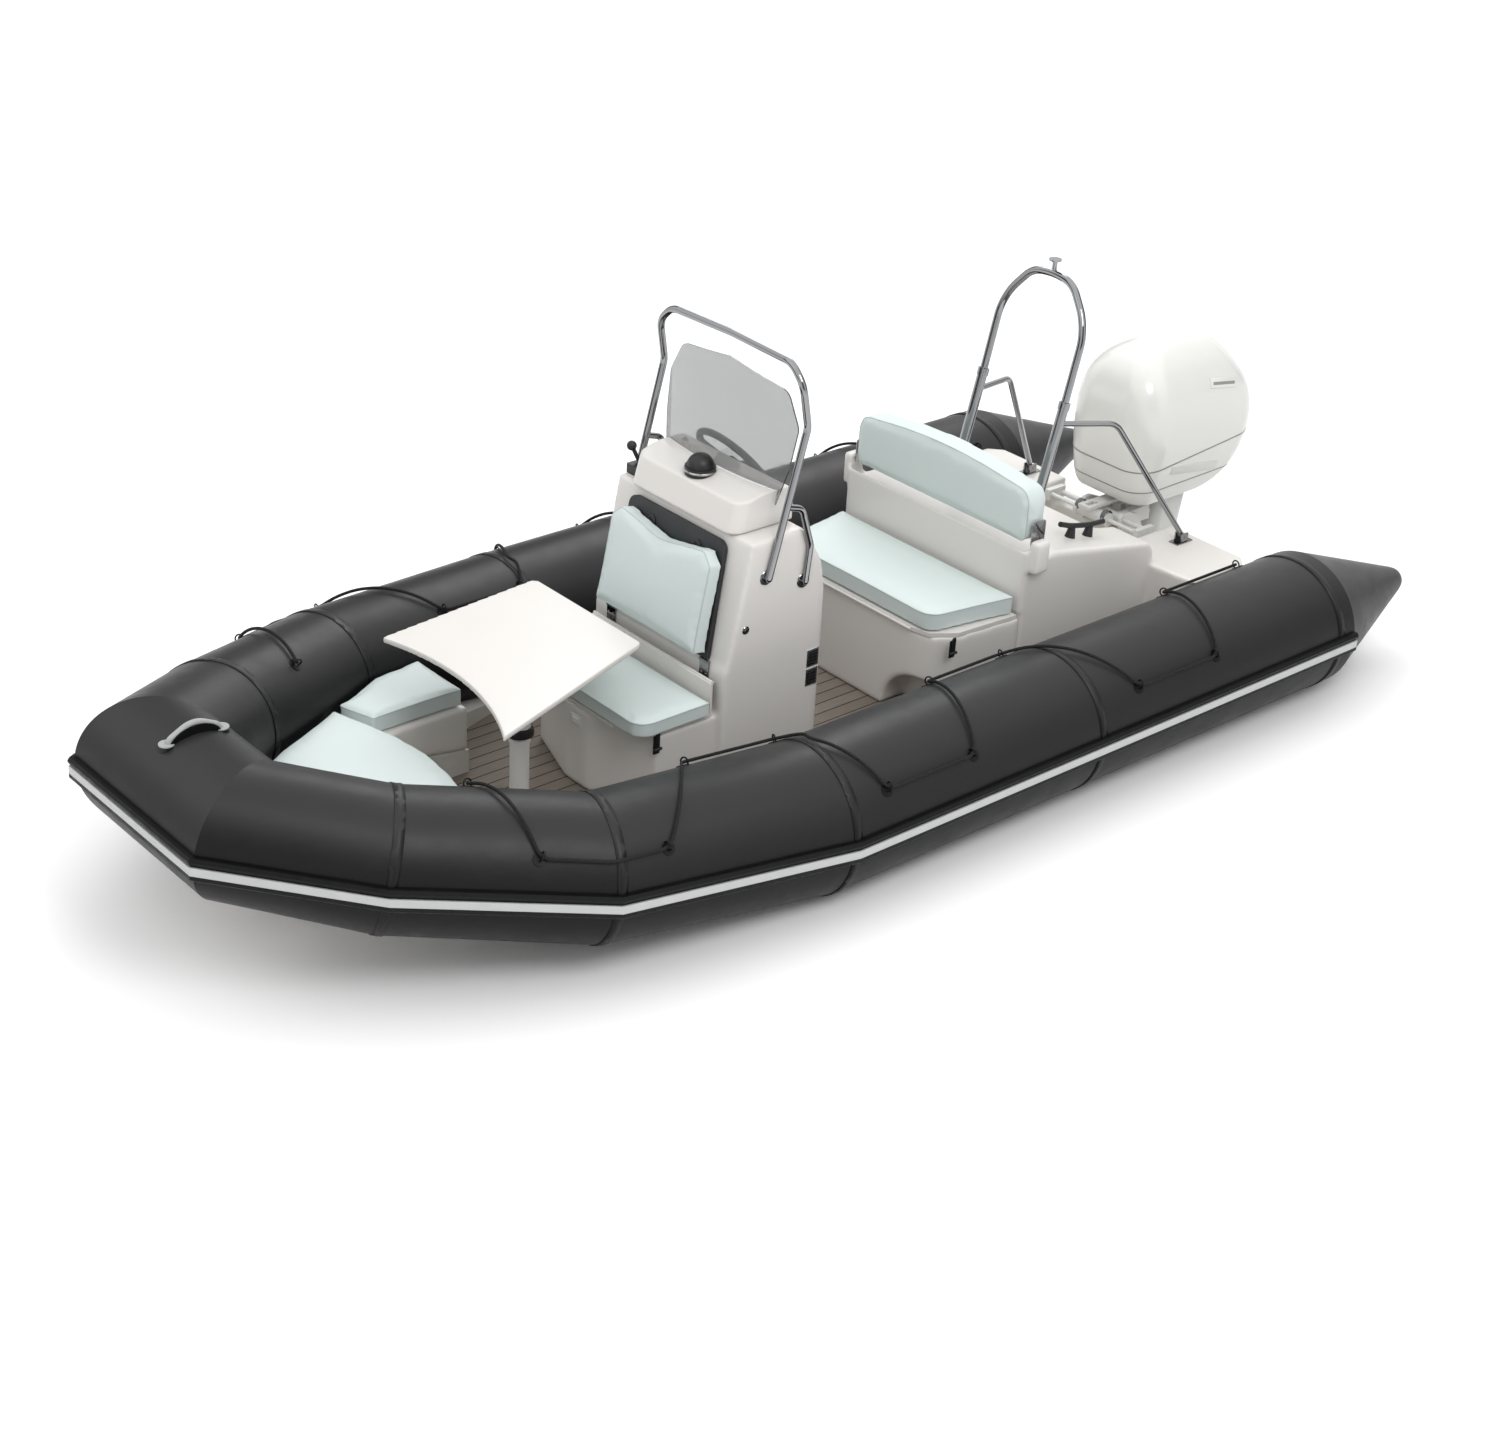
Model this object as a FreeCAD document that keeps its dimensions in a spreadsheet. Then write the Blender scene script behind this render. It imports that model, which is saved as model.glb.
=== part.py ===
"""Inflatable rib boat: deep-V hull, inflated tubes, centre console, seats, ski arch and outboard.

Millimetres. +X is forward, +Y is port, +Z is up. The origin is at the waterline, on the centre
plane, midway along the length.
"""
import FreeCAD, Part
import math
import os
import re
import Sketcher
from FreeCAD import Placement, Rotation, Vector

DOC = FreeCAD.newDocument("RibBoat")
SHEET = DOC.addObject("Spreadsheet::Sheet", "Sizes")
NODES = []
X, Y, Z = Vector(1, 0, 0), Vector(0, 1, 0), Vector(0, 0, 1)

# Driving sizes: name, millimetres (or degrees where named so), what it is.
SIZES = [
    ("tube_radius", 283, "inflated tube, straight side"),
    ("tube_y", 921, "tube axis from the centre plane"),
    ("tube_z", 270, "tube axis above the waterline"),
    ("cone_x", -2125, "start of the stern cones"),
    ("cone_end_x", -2740, "end of the stern cones' straight flank"),
    ("cone_end_radius", 62, "stern cone at that end"),
    ("knee3_x", 633, "aft knee of the tube axis"),
    ("knee2_x", 1518, "middle knee"),
    ("knee2_y", 828, "middle knee"),
    ("knee2_z", 338, "middle knee"),
    ("knee2_radius", 254, "tube at the middle knee"),
    ("knee1_x", 2136, "forward knee"),
    ("knee1_y", 536, "forward knee"),
    ("knee1_z", 452, "forward knee"),
    ("knee1_radius", 246, "tube at the forward knee"),
    ("bow_x", 2505, "bow corner of the tube axis"),
    ("bow_y", 262, "bow corner"),
    ("bow_z", 560, "bow corner"),
    ("bow_radius", 238, "tube across the bow"),
    ("strake_out", 18, "rubbing strake proud of the tube"),
    ("strake_up", 48, "strake's upper edge above the tube axis"),
    ("strake_down", 38, "strake's lower edge below the tube axis"),
    ("stripe_half", 15, "half the stripe's height"),
    ("stripe_deep", 7, "thickness of the stripe in its groove"),
    ("rope_radius", 6, "lifeline"),
    ("rope_lift", 13, "lifeline's centre off the tube"),
    ("rope_high_deg", 127, "lifeline's inner run round the tube from its outer side"),
    ("rope_low_deg", 36, "lifeline's outer run"),
    ("ring_radius", 16, "lifeline ring, to the middle of its wire"),
    ("ring_wire", 3, "lifeline ring's wire radius"),
    ("seat_gap", 0.3, "clearance between pieces that rest together"),
    ("move_gap", 5, "clearance beside a moving piece"),
    ("pin_gap", 0.05, "running clearance round a pin"),
    ("deck_z", 75, "top of the deck"),
    ("deck_thick", 12, "deck planking"),
    ("deck_half", 690, "half the deck's width"),
    ("deck_front_half", 520, "half the deck's width at the bow seat"),
    ("deck_bow_half", 340, "half the deck's width at its forward end, on the open side"),
    ("transom_x", -1975, "outer face of the transom"),
    ("transom_thick", 60, "transom"),
    ("transom_top", 395, "transom's top above the waterline"),
    ("hull_tail_keel", -262, "keel at the transom"),
    ("bowseat_top", 350, "bow seat base"),
    ("bowseat_aft_x", 1215, "aft end of the bow seat's starboard arm"),
    ("bowseat_nose", 175, "forward end of the bow seat behind the bow corner"),
    ("footwell_x", 1592, "forward end of the bow footwell"),
    ("footwell_half", 300, "half the footwell's width"),
    ("bowseat_corner_x", 1690, "where the bow cushion's aft edge meets the tube"),
    ("bowseat_corner_y", 450, "same corner"),
    ("bow_cushion_thick", 80, "bow cushions"),
    ("cushion_seam", 8, "gap between neighbouring cushions"),
    ("cushion_tube_gap", 6, "gap between cushions and tubes"),
    ("handle_length", 200, "bow handle"),
    ("handle_rise", 45, "bow handle above the tube"),
    ("console_aft_x", 85, "console's aft foot"),
    ("console_half", 385, "half the console's width"),
    ("console_top", 1075, "flat top of the console"),
    ("console_shoulder_x", 225, "aft end of the console's flat top"),
    ("console_knee_z", 760, "where the console's aft face starts to slope"),
    ("console_dash_z", 930, "foot of the helm slope"),
    ("console_dash_x", 130, "foot of the helm slope"),
    ("console_front_x", 575, "console's front face at the seat"),
    ("console_wall", 30, "console wall"),
    ("console_round", 45, "console's rounded edges"),
    ("lean_deg", 10.5, "front backrest leans aft"),
    ("lean_x", 565, "foot of the leaning face"),
    ("lean_z", 600, "foot of the leaning face"),
    ("front_base_x", 950, "front of the seat base"),
    ("front_base_half", 350, "half the seat base's width"),
    ("front_base_nose", 60, "half the seat base's nose"),
    ("front_base_side_x", 850, "where the base's sides turn in"),
    ("front_base_top", 404, "top of the seat base"),
    ("pod_x", 215, "aft end of the dash pod"),
    ("pod_front_x", 505, "front of the dash pod"),
    ("pod_half", 300, "half the dash pod's width"),
    ("pod_rise", 137, "dash pod's crown above the console"),
    ("pod_lip", 22, "pod's front edge below its crown"),
    ("pod_round", 55, "pod's rounded corners"),
    ("screen_x", 333, "windscreen's foot"),
    ("screen_half", 356, "half the windscreen's width"),
    ("screen_height", 412, "windscreen"),
    ("screen_bow", 1500, "windscreen's bend in plan"),
    ("screen_ear", 50, "screen's lower corners below the pod's crown"),
    ("screen_thick", 6, "windscreen"),
    ("screen_lean_deg", 7, "windscreen leans aft"),
    ("rail_radius", 14, "console rail tube"),
    ("rail_half", 399, "console rail from the centre plane"),
    ("rail_over", 88, "console rail over the top of the screen"),
    ("rail_foot_down", 147, "rail's forward foot below the console's top"),
    ("grab_foot_down", 207, "rail's aft foot below the console's top"),
    ("wheel_x", 95, "steering wheel's centre"),
    ("wheel_y", -160, "steering wheel's centre"),
    ("wheel_z", 1105, "steering wheel's centre"),
    ("wheel_radius", 172, "steering wheel to the middle of its rim"),
    ("wheel_rim", 14, "rim's radius"),
    ("wheel_tilt_deg", 37, "steering wheel's tilt from upright"),
    ("compass_x", 406, "compass"),
    ("compass_radius", 52, "compass bowl"),
    ("front_lid_thick", 15, "lid under the front seat cushion"),
    ("front_cushion_thick", 70, "front seat cushion"),
    ("front_cushion_half", 390, "half the front seat cushion's width"),
    ("front_cushion_x", 972, "front of the seat cushion"),
    ("front_cushion_aft_x", 614, "back of the seat cushion"),
    ("seat_corner", 85, "seat cushions' rounded front corners"),
    ("knuckle_radius", 6, "round knuckles of the lids' hinges"),
    ("riser_thick", 10, "upstand at the back of the front lid"),
    ("lid_hinge_x", 600, "front seat lid's hinge"),
    ("lid_hinge_z", 545, "front seat lid's hinge"),
    ("panel_thick", 18, "charcoal back panel"),
    ("panel_height", 450, "charcoal back panel"),
    ("panel_half", 290, "half the panel's width"),
    ("panel_taper", 20, "how much narrower each side is at the top"),
    ("panel_round", 40, "panel's upper corners"),
    ("back_cushion_half", 300, "half the front backrest cushion's width"),
    ("hinge_width", 50, "chrome hinges of the back panel"),
    ("hinge_leaf", 80, "their lower leaf"),
    ("back_cushion_thick", 72, "front backrest cushion"),
    ("back_cushion_height", 425, "front backrest cushion"),
    ("bench_front_x", -420, "front face of the bench base"),
    ("bench_front_half", 345, "half the bench base's front"),
    ("bench_side_x", -530, "where the bench's sides start"),
    ("bench_half", 490, "half the bench's width there"),
    ("moulding_x", -850, "front of the stern moulding"),
    ("moulding_half", 512, "half the stern moulding's width"),
    ("bench_top", 459, "top of the bench base"),
    ("bench_lid_thick", 16, "lid under the bench cushion"),
    ("bench_cushion_thick", 85, "bench cushion"),
    ("bench_cushion_x", -406, "front of the bench cushion"),
    ("bench_cushion_aft_x", -832, "back of the bench cushion"),
    ("bench_cushion_half", 512, "half the bench cushion at the back"),
    ("bench_cushion_front_half", 445, "half the bench cushion at the front"),
    ("toe_radius", 187, "toe recess at the bench's corners"),
    ("back_panel_top", 742, "panel behind the bench cushion"),
    ("trough_z", 700, "trough under the swinging backrest"),
    ("moulding_high", 700, "moulding's top behind the backrest"),
    ("moulding_low", 585, "moulding's top at its aft end"),
    ("moulding_aft_x", -1630, "moulding's aft end"),
    ("well_half", 300, "half the engine well's width"),
    ("well_floor", 300, "engine well's floor"),
    ("tilt_notch_x", -1480, "notch that the tilted cowl swings into"),
    ("tilt_notch_z", 380, "floor of that notch"),
    ("wing_top", 490, "stern platforms beside the engine"),
    ("wing_out", 745, "their outer edge"),
    ("wing_aft_x", -1990, "their aft end"),
    ("pod_length", 80, "backrest hinge pods"),
    ("pod_width", 48, "backrest hinge pods"),
    ("backrest_x", -855, "front face of the bench backrest"),
    ("backrest_thick", 110, "bench backrest"),
    ("backrest_half", 503, "half the backrest's width"),
    ("backrest_low", 753, "backrest's lower edge"),
    ("backrest_top", 1036, "backrest's upper edge in the middle"),
    ("backrest_side_top", 985, "backrest's upper edge at its ends"),
    ("backrest_round", 75, "backrest's upper corners"),
    ("backrest_pin_z", 768, "backrest's pivot"),
    ("backrest_pin", 9, "backrest's pivot pin radius"),
    ("cleat_x", -1300, "horn cleats"),
    ("cleat_y", 378, "horn cleats"),
    ("cleat_length", 270, "horn cleats"),
    ("arch_half", 226, "ski arch leg from the centre plane"),
    ("arch_radius", 16, "ski arch tube"),
    ("sleeve_radius", 21, "lower sleeve of the ski arch"),
    ("arch_foot_x", -1172, "ski arch's foot"),
    ("arch_foot_z", 655, "ski arch's foot"),
    ("sleeve_x", -1297, "top of the sleeves"),
    ("sleeve_z", 1172, "top of the sleeves"),
    ("arch_top_x", -1400, "top of the ski arch"),
    ("arch_top_z", 1625, "top of the ski arch"),
    ("stay_x", -1279, "where the stays leave the sleeves"),
    ("stay_z", 1085, "where the stays leave the sleeves"),
    ("stay_bend_x", -1541, "stay's bend"),
    ("stay_bend_y", 300, "stay's bend"),
    ("stay_bend_z", 1052, "stay's bend"),
    ("stay_foot_x", -1892, "stay's foot"),
    ("stay_foot_y", 437, "stay's foot"),
    ("stay_foot_z", 512, "stay's foot"),
    ("stay_radius", 12, "stay"),
    ("table_top", 725, "table's top"),
    ("table_thick", 22, "table top"),
    ("table_front_x", 1700, "where the table's sides would end without its curved edge"),
    ("table_front_port", 517, "port side there"),
    ("table_front_starboard", 319, "starboard side there"),
    ("table_aft_x", 836, "table's aft edge"),
    ("table_aft_port", 223, "its port corner"),
    ("table_aft_starboard", 410, "its starboard corner"),
    ("table_corner", 28, "table's rounded aft corners"),
    ("table_hollow_radius", 1000, "curve of the table's forward edge"),
    ("table_hollow_deep", 193, "depth of that curve"),
    ("pedestal_x", 1205, "table pedestal"),
    ("pedestal_radius", 36, "table pedestal"),
    ("collar_radius", 40, "black collar on the pedestal"),
    ("collar_low", 342, "collar's lower edge"),
    ("collar_high", 405, "collar's upper edge"),
    ("tilt_x", -1903, "outboard's tilt pin"),
    ("tilt_z", 462, "outboard's tilt pin"),
    ("tilt_pin", 12, "tilt pin's radius"),
    ("tilt_tube", 22, "tube round the tilt pin"),
    ("steer_x", -2095, "outboard's steering pin"),
    ("steer_pin", 18, "steering pin's radius"),
    ("swivel_radius", 34, "swivel tube"),
    ("swivel_low", 150, "swivel tube's lower end"),
    ("swivel_high", 455, "swivel tube's upper end"),
    ("clamp_in", 100, "inner faces of the clamp plates"),
    ("clamp_thick", 18, "clamp plates"),
    ("ram_x", -1833, "steering cylinder"),
    ("ram_z", 470, "steering cylinder"),
    ("ram_rod", 9, "steering cylinder's rod radius"),
    ("ram_radius", 27, "steering cylinder's barrel radius"),
    ("ram_length", 180, "steering cylinder's barrel"),
    ("ram_span", 510, "steering rod between its brackets"),
    ("tiller_z", 508, "underside of the tiller arm"),
    ("tiller_thick", 14, "tiller arm"),
    ("tiller_pin", 6, "pin in the tiller's slot"),
    ("tiller_slot_half", 12.5, "half the width of that slot"),
    ("cowl_low", 548, "cowl's lower edge"),
    ("cowl_top", 1206, "cowl's top"),
    ("cowl_front_x", -1835, "front of the cowl"),
    ("cowl_aft_x", -2582, "back of the cowl"),
    ("cowl_half", 239, "half the cowl's width"),
    ("cowl_wall", 7, "cowl's wall"),
    ("leg_front_x", -2150, "front of the engine's midsection"),
    ("leg_half", 72, "half the midsection's width"),
    ("plate_z", -248, "underside of the splash plate"),
    ("shaft_z", -435, "propeller shaft"),
    ("gear_radius", 52, "gearcase"),
    ("gear_aft_x", -2345, "gearcase's aft end"),
    ("skeg_z", -600, "lower tip of the skeg"),
    ("prop_radius", 172, "propeller"),
    ("hub_radius", 46, "propeller's hub"),
    ("hub_length", 105, "propeller's hub"),
    ("trim_low_x", -1996, "trim cylinder's lower pin"),
    ("trim_low_z", 165, "trim cylinder's lower pin"),
    ("trim_high_x", -2040, "trim cylinder's upper pin"),
    ("trim_high_z", 398, "trim cylinder's upper pin"),
    ("trim_barrel", 21, "trim cylinder's barrel radius"),
    ("trim_rod", 9, "trim cylinder's rod radius"),
    ("trim_pin", 8, "trim cylinder's pins"),
]

for row, (alias, value, note) in enumerate(SIZES, start=1):
    SHEET.set(f"A{row}", alias)
    SHEET.set(f"B{row}", str(value))
    SHEET.set(f"C{row}", note)
    SHEET.setAlias(f"B{row}", alias)
DOC.recompute()


class Values:
    """The driving sizes as attributes, read from the sheet."""

    def __getattr__(self, name):
        return float(SHEET.get(name))


S = Values()


# ---------------------------------------------------------------- tools

def named(expression):
    """The expression with every size's name pointed at the sheet."""
    return re.sub(r"\b([a-z][a-z0-9]*(?:_[a-z0-9]+)+)\b", r"Sizes.\1", str(expression))


def node(label):
    """The shape of a finished node."""
    return [each for each in NODES if each.Label == label][0].Shape


def keep(thing, label):
    """Makes an object one of the part's nodes."""
    thing.Label = label
    NODES.append(thing)
    return thing


def solid(label, shape):
    """A node whose shape is made by the functions below."""
    feature = DOC.addObject("Part::Feature", label)
    if shape.ShapeType == "Compound" and len(shape.Solids) == 1:
        shape = shape.Solids[0]
    feature.Shape = shape
    feature.Placement = shape.Placement
    return keep(feature, label)


def new_body(name):
    """An empty body with its origin planes ready."""
    body = DOC.addObject("PartDesign::Body", name)
    DOC.recompute()
    return body


def outline(body, role, points, offset="0"):
    """A closed sketch on one of the body's planes; each point is a pair of expressions."""
    plane = [each for each in body.Origin.OriginFeatures if each.Role == role][0]
    sketch = body.newObject("Sketcher::SketchObject", body.Name + "_outline")
    sketch.AttachmentSupport = [(plane, "")]
    sketch.MapMode = "FlatFace"
    sketch.setExpression("AttachmentOffset.Base.z", named(offset))
    count = len(points)
    start = [Vector(10 * math.cos(2 * math.pi * i / count), 10 * math.sin(2 * math.pi * i / count), 0)
             for i in range(count)]
    for i in range(count):
        sketch.addGeometry(Part.LineSegment(start[i], start[(i + 1) % count]), False)
    for i in range(count):
        sketch.addConstraint(Sketcher.Constraint("Coincident", i, 2, (i + 1) % count, 1))
    for i, pair in enumerate(points):
        for kind, expression, place in zip(("DistanceX", "DistanceY"), pair, (start[i].x, start[i].y)):
            index = sketch.addConstraint(Sketcher.Constraint(kind, -1, 1, i, 1, place))
            sketch.setExpression(f"Constraints[{index}]", named(expression))
    DOC.recompute()
    return sketch


def mirrored(points):
    """An outline's port half, from aft to forward, closed with its starboard half."""
    return points + [(x, f"-({y})") for x, y in reversed(points)]


def pad(body, sketch, length, both=False):
    """The sketch grown to a block, to one side or half to each side."""
    feature = body.newObject("PartDesign::Pad", body.Name + "_pad")
    feature.Profile = sketch
    feature.setExpression("Length", named(length))
    if both:
        feature.SideType = "Symmetric"
    DOC.recompute()
    return feature


def pocket(body, sketch, length, both=False, flip=False):
    """The sketch cut out of the body; the cut must take something away."""
    before = body.Shape.Volume
    feature = body.newObject("PartDesign::Pocket", body.Name + "_pocket")
    feature.Profile = sketch
    feature.setExpression("Length", named(length))
    feature.Reversed = flip
    if both:
        feature.SideType = "Symmetric"
    DOC.recompute()
    if body.Shape.Volume >= before:
        raise ValueError(body.Name + ": a pocket cut nothing")
    return feature


def along(direction):
    """A test for straight edges that run along a direction."""
    def test(edge):
        if edge.Curve.TypeId != "Part::GeomLine":
            return False
        run = edge.Vertexes[1].Point - edge.Vertexes[0].Point
        return run.Length > 1 and abs(run.normalize().dot(direction)) > 0.999
    return test


def soften(body, test, radius):
    """Rounds the edges of the body's tip that pass the test."""
    tip = body.Tip
    names = [f"Edge{i}" for i, edge in enumerate(tip.Shape.Edges, start=1) if test(edge)]
    feature = body.newObject("PartDesign::Fillet", body.Name + "_round")
    feature.Base = (tip, names)
    feature.setExpression("Radius", named(radius))
    DOC.recompute()
    return feature


def half_space(point, normal, reach=6000):
    """A block that fills the side of a plane that the normal points to."""
    block = Part.makeBox(reach, reach, reach)
    block.Placement = Placement(point, Rotation(Z, normal)).multiply(
        Placement(Vector(-reach / 2, -reach / 2, 0), Rotation()))
    return block


def rod(start, end, radius):
    """A round bar between two points."""
    return Part.makeCylinder(radius, (end - start).Length, start, end - start)


def block(x0, x1, y0, y1, z0, z1):
    """A box between two corners."""
    return Part.makeBox(x1 - x0, y1 - y0, z1 - z0, Vector(x0, y0, z0))


def corner(before, point, after, radius=None):
    """The tangent arc at a corner: where it starts, its middle and where it ends."""
    back, on = before - point, after - point
    turn = math.pi - back.getAngle(on)
    reach = 0.45 * min(back.Length, on.Length)
    if radius is not None:
        reach = min(reach, radius * math.tan(turn / 2))
    back.normalize()
    on.normalize()
    bend = reach / math.tan(turn / 2)
    middle = point + (back + on).normalize() * (bend / math.cos(turn / 2) - bend)
    return point + back * reach, middle, point + on * reach


def bent_wire(points, radius=None):
    """Straight runs joined by tangent arcs; without a radius each arc is as large as its runs allow."""
    bends = [points[0]] + [b for a, b, c in zip(points, points[1:], points[2:])
                           if (b - a).getAngle(c - b) > 0.002] + [points[-1]]
    edges = []
    last = bends[0]
    for before, point, after in zip(bends, bends[1:], bends[2:]):
        enter, middle, leave = corner(before, point, after, radius)
        edges.append(Part.LineSegment(last, enter).toShape())
        edges.append(Part.Arc(enter, middle, leave).toShape())
        last = leave
    edges.append(Part.LineSegment(last, bends[-1]).toShape())
    return Part.Wire(edges)


def pipe(points, radius, bend=None):
    """A round bar that follows the points, rounded at its corners."""
    path = bent_wire(points, bend)
    section = Part.Wire(Part.makeCircle(radius, points[0], points[1] - points[0]))
    return outward(path.makePipeShell([section], True, False))


def outward(shape):
    """The shape with its faces turned to look out of it."""
    if shape.Volume < 0:
        shape.reverse()
    return shape


def polygon(points):
    """A closed wire through points."""
    return Part.makePolygon(points + [points[0]])


def slab(points, along_vector):
    """A flat outline given thickness."""
    return outward(Part.Face(polygon(points)).extrude(along_vector))


def plan_loft(levels):
    """A smooth upright form through rounded rectangles: (z, x low, x high, half width, corner radius)."""
    wires = []
    for z, x0, x1, half, corner in levels:
        tall = block(x0, x1, -half, half, z, z + 10)
        upright = [edge for edge in tall.Edges if along(Z)(edge)]
        tall = tall.makeFillet(corner, upright)
        base = [each for each in tall.Faces if abs(each.CenterOfMass.z - z) < 0.01][0]
        wires.append(base.OuterWire)
    return outward(Part.makeLoft(wires, True, False))


def both_sides(shape):
    """A shape and its mirror image across the centre plane."""
    return Part.makeCompound([shape, shape.mirror(Vector(0, 0, 0), Y)])


# ---------------------------------------------------------------- tubes

def tube_axis(side):
    """The tube axis from the bow corner aft: point and radius at each knee (side 1 is port)."""
    rows = [(S.bow_x, S.bow_y, S.bow_z, S.bow_radius),
            (S.knee1_x, S.knee1_y, S.knee1_z, S.knee1_radius),
            (S.knee2_x, S.knee2_y, S.knee2_z, S.knee2_radius),
            (S.knee3_x, S.tube_y, S.tube_z, S.tube_radius),
            (S.cone_x, S.tube_y, S.tube_z, S.tube_radius),
            (S.cone_end_x, S.tube_y, S.tube_z, S.cone_end_radius)]
    return [(Vector(x, side * y, z), radius) for x, y, z, radius in rows]


def ring_section(centre, radius, before, after):
    """The round section where two runs of tube meet, in the plane that halves their angle."""
    normal = (before + after).normalize()
    up = (Z - normal * Z.dot(normal)).normalize()
    side = up.cross(normal)
    points = []
    for i in range(20):
        turn = 2 * math.pi * i / 20
        way = side * math.cos(turn) + up * math.sin(turn)
        points.append(centre + way * (radius / math.sqrt(1 - way.dot(before) ** 2)))
    curve = Part.BSplineCurve()
    curve.interpolate(Points=points, PeriodicFlag=True)
    return Part.Wire(curve.toShape())


def tube_stations():
    """Every section of the tubes from the starboard tip round the bow to the port tip: centre and radius."""
    rows = tube_axis(1)
    end, radius = rows[-1]
    run = (end - rows[-2][0]).normalize()
    port = rows + [(end + run * radius * ahead, radius * share)
                   for ahead, share in ((0.45, 0.8), (0.68, 0.42), (0.74, 0.08))]
    return [(Vector(c.x, -c.y, c.z), r) for c, r in reversed(port)] + port


def tube_between(first, last, grow=0.0):
    """The tubes from one station to another, mitred where they end at a knee."""
    rows = tube_stations()
    runs = [(b[0] - a[0]).normalize() for a, b in zip(rows, rows[1:])]
    before, after = [runs[0]] + runs, runs + [runs[-1]]
    rings = [ring_section(rows[i][0], rows[i][1] + grow, before[i], after[i]) for i in range(first, last + 1)]
    return outward(Part.makeLoft(rings, True, True))


def strake_bar(profile):
    """A bar round the outside of the tubes: profile points are (out of the tube, up)."""
    route = [knee for knee in reversed(tube_axis(-1)[:-1])] + tube_axis(1)[:-1]
    centres = [centre for centre, radius in route]
    wires = []
    for i, (centre, radius) in enumerate(route):
        outs = []
        for a, b in ((i - 1, i), (i, i + 1)):
            if a >= 0 and b < len(route):
                run = centres[b] - centres[a]
                outs.append(Vector(run.y, -run.x, 0).normalize())
        out = (outs[0] + outs[-1]).normalize()
        stretch = 1 / out.dot(outs[0])
        wires.append(polygon([centre + out * ((radius + a) * stretch) + Z * b for a, b in profile]))
    return outward(Part.makeLoft(wires, True, True))


BOW = len(tube_stations()) // 2 - 1


def tubes(grow=0.0):
    """The starboard tube, the port tube as its mirror image, and the bow tube between them."""
    starboard = tube_between(0, BOW, grow)
    return [starboard, starboard.mirror(Vector(0, 0, 0), Y), tube_between(BOW, BOW + 1, grow)]


ALL_TUBES = Part.makeCompound(tubes())
WIDE_TUBES = Part.makeCompound(tubes(S.cushion_tube_gap))


def minus(shape, *others):
    """A shape with others cut away."""
    for other in others:
        for piece in other.Solids:
            shape = shape.cut(piece)
    return shape


def make_tubes():
    starboard, port, bow = ALL_TUBES.Solids
    solid("tube_port", port)
    solid("tube_starboard", starboard)
    solid("tube_bow", bow)


def make_strake():
    out, up, down, half, deep = S.strake_out, S.strake_up, S.strake_down, S.stripe_half, S.stripe_deep
    root = -18
    groove = out - deep - 1
    body = [(root, -down), (out - 9, -down), (out, -down + 9), (out, -half), (groove, -half),
            (groove, half + 10), (out, half + 12), (out + 1, up - 12), (out - 6, up), (root, up)]
    band = [(groove, -half), (groove + deep, -half), (groove + deep, half), (groove, half)]
    solid("rubbing_strake", minus(strake_bar(body), ALL_TUBES))
    solid("strake_stripe", strake_bar(band))


# ---------------------------------------------------------------- hull and deck

def hull_sections():
    """Station, keel height, chine half width and height, top half width and height, from the transom."""
    return [(S.transom_x, S.hull_tail_keel, 700, -20, 850, S.deck_z - S.deck_thick),
            (-500, -280, 705, -18, 850, 63),
            (S.knee3_x, -278, 690, 5, 840, 90),
            (1300, -235, 590, 70, 790, 180),
            (1800, -140, 420, 155, 620, 260),
            (S.bow_x - 305, 10, 235, 250, 420, 335),
            (S.bow_x - 55, 190, 105, 300, 260, 340),
            (S.bow_x + 75, 310, 40, 335, 130, 345)]


def cockpit(low, high):
    """The inside of the boat in plan, between two heights: open to port, with the seat's arm to starboard."""
    plan = [(S.transom_x, S.deck_half), (S.knee3_x, S.deck_half), (S.bowseat_aft_x, S.deck_front_half),
            (S.footwell_x, S.deck_bow_half), (S.footwell_x, -S.footwell_half),
            (S.bowseat_aft_x, -S.footwell_half), (S.bowseat_aft_x, -S.deck_front_half),
            (S.knee3_x, -S.deck_half), (S.transom_x, -S.deck_half)]
    return slab([Vector(x, y, low) for x, y in plan], Vector(0, 0, high - low))


def hull_shape():
    low = S.deck_z - S.deck_thick
    wires = []
    for x, keel, chine, chine_z, top, top_z in hull_sections():
        wires.append(polygon([Vector(x, 0, keel), Vector(x, chine, chine_z), Vector(x, top, top_z),
                              Vector(x, -top, top_z), Vector(x, -chine, chine_z)]))
    whole = outward(Part.makeLoft(wires, True, True))
    return minus(whole, ALL_TUBES, cockpit(low, low + 500))


HULL = hull_shape()


def make_hull():
    solid("hull", HULL)
    low = S.deck_z - S.deck_thick
    planking = cockpit(low, S.deck_z).common(block(S.moulding_x + S.seat_gap, S.footwell_x, -900, 900, low,
                                                   S.deck_z))
    solid("deck_planking", minus(planking, ALL_TUBES))


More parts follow.
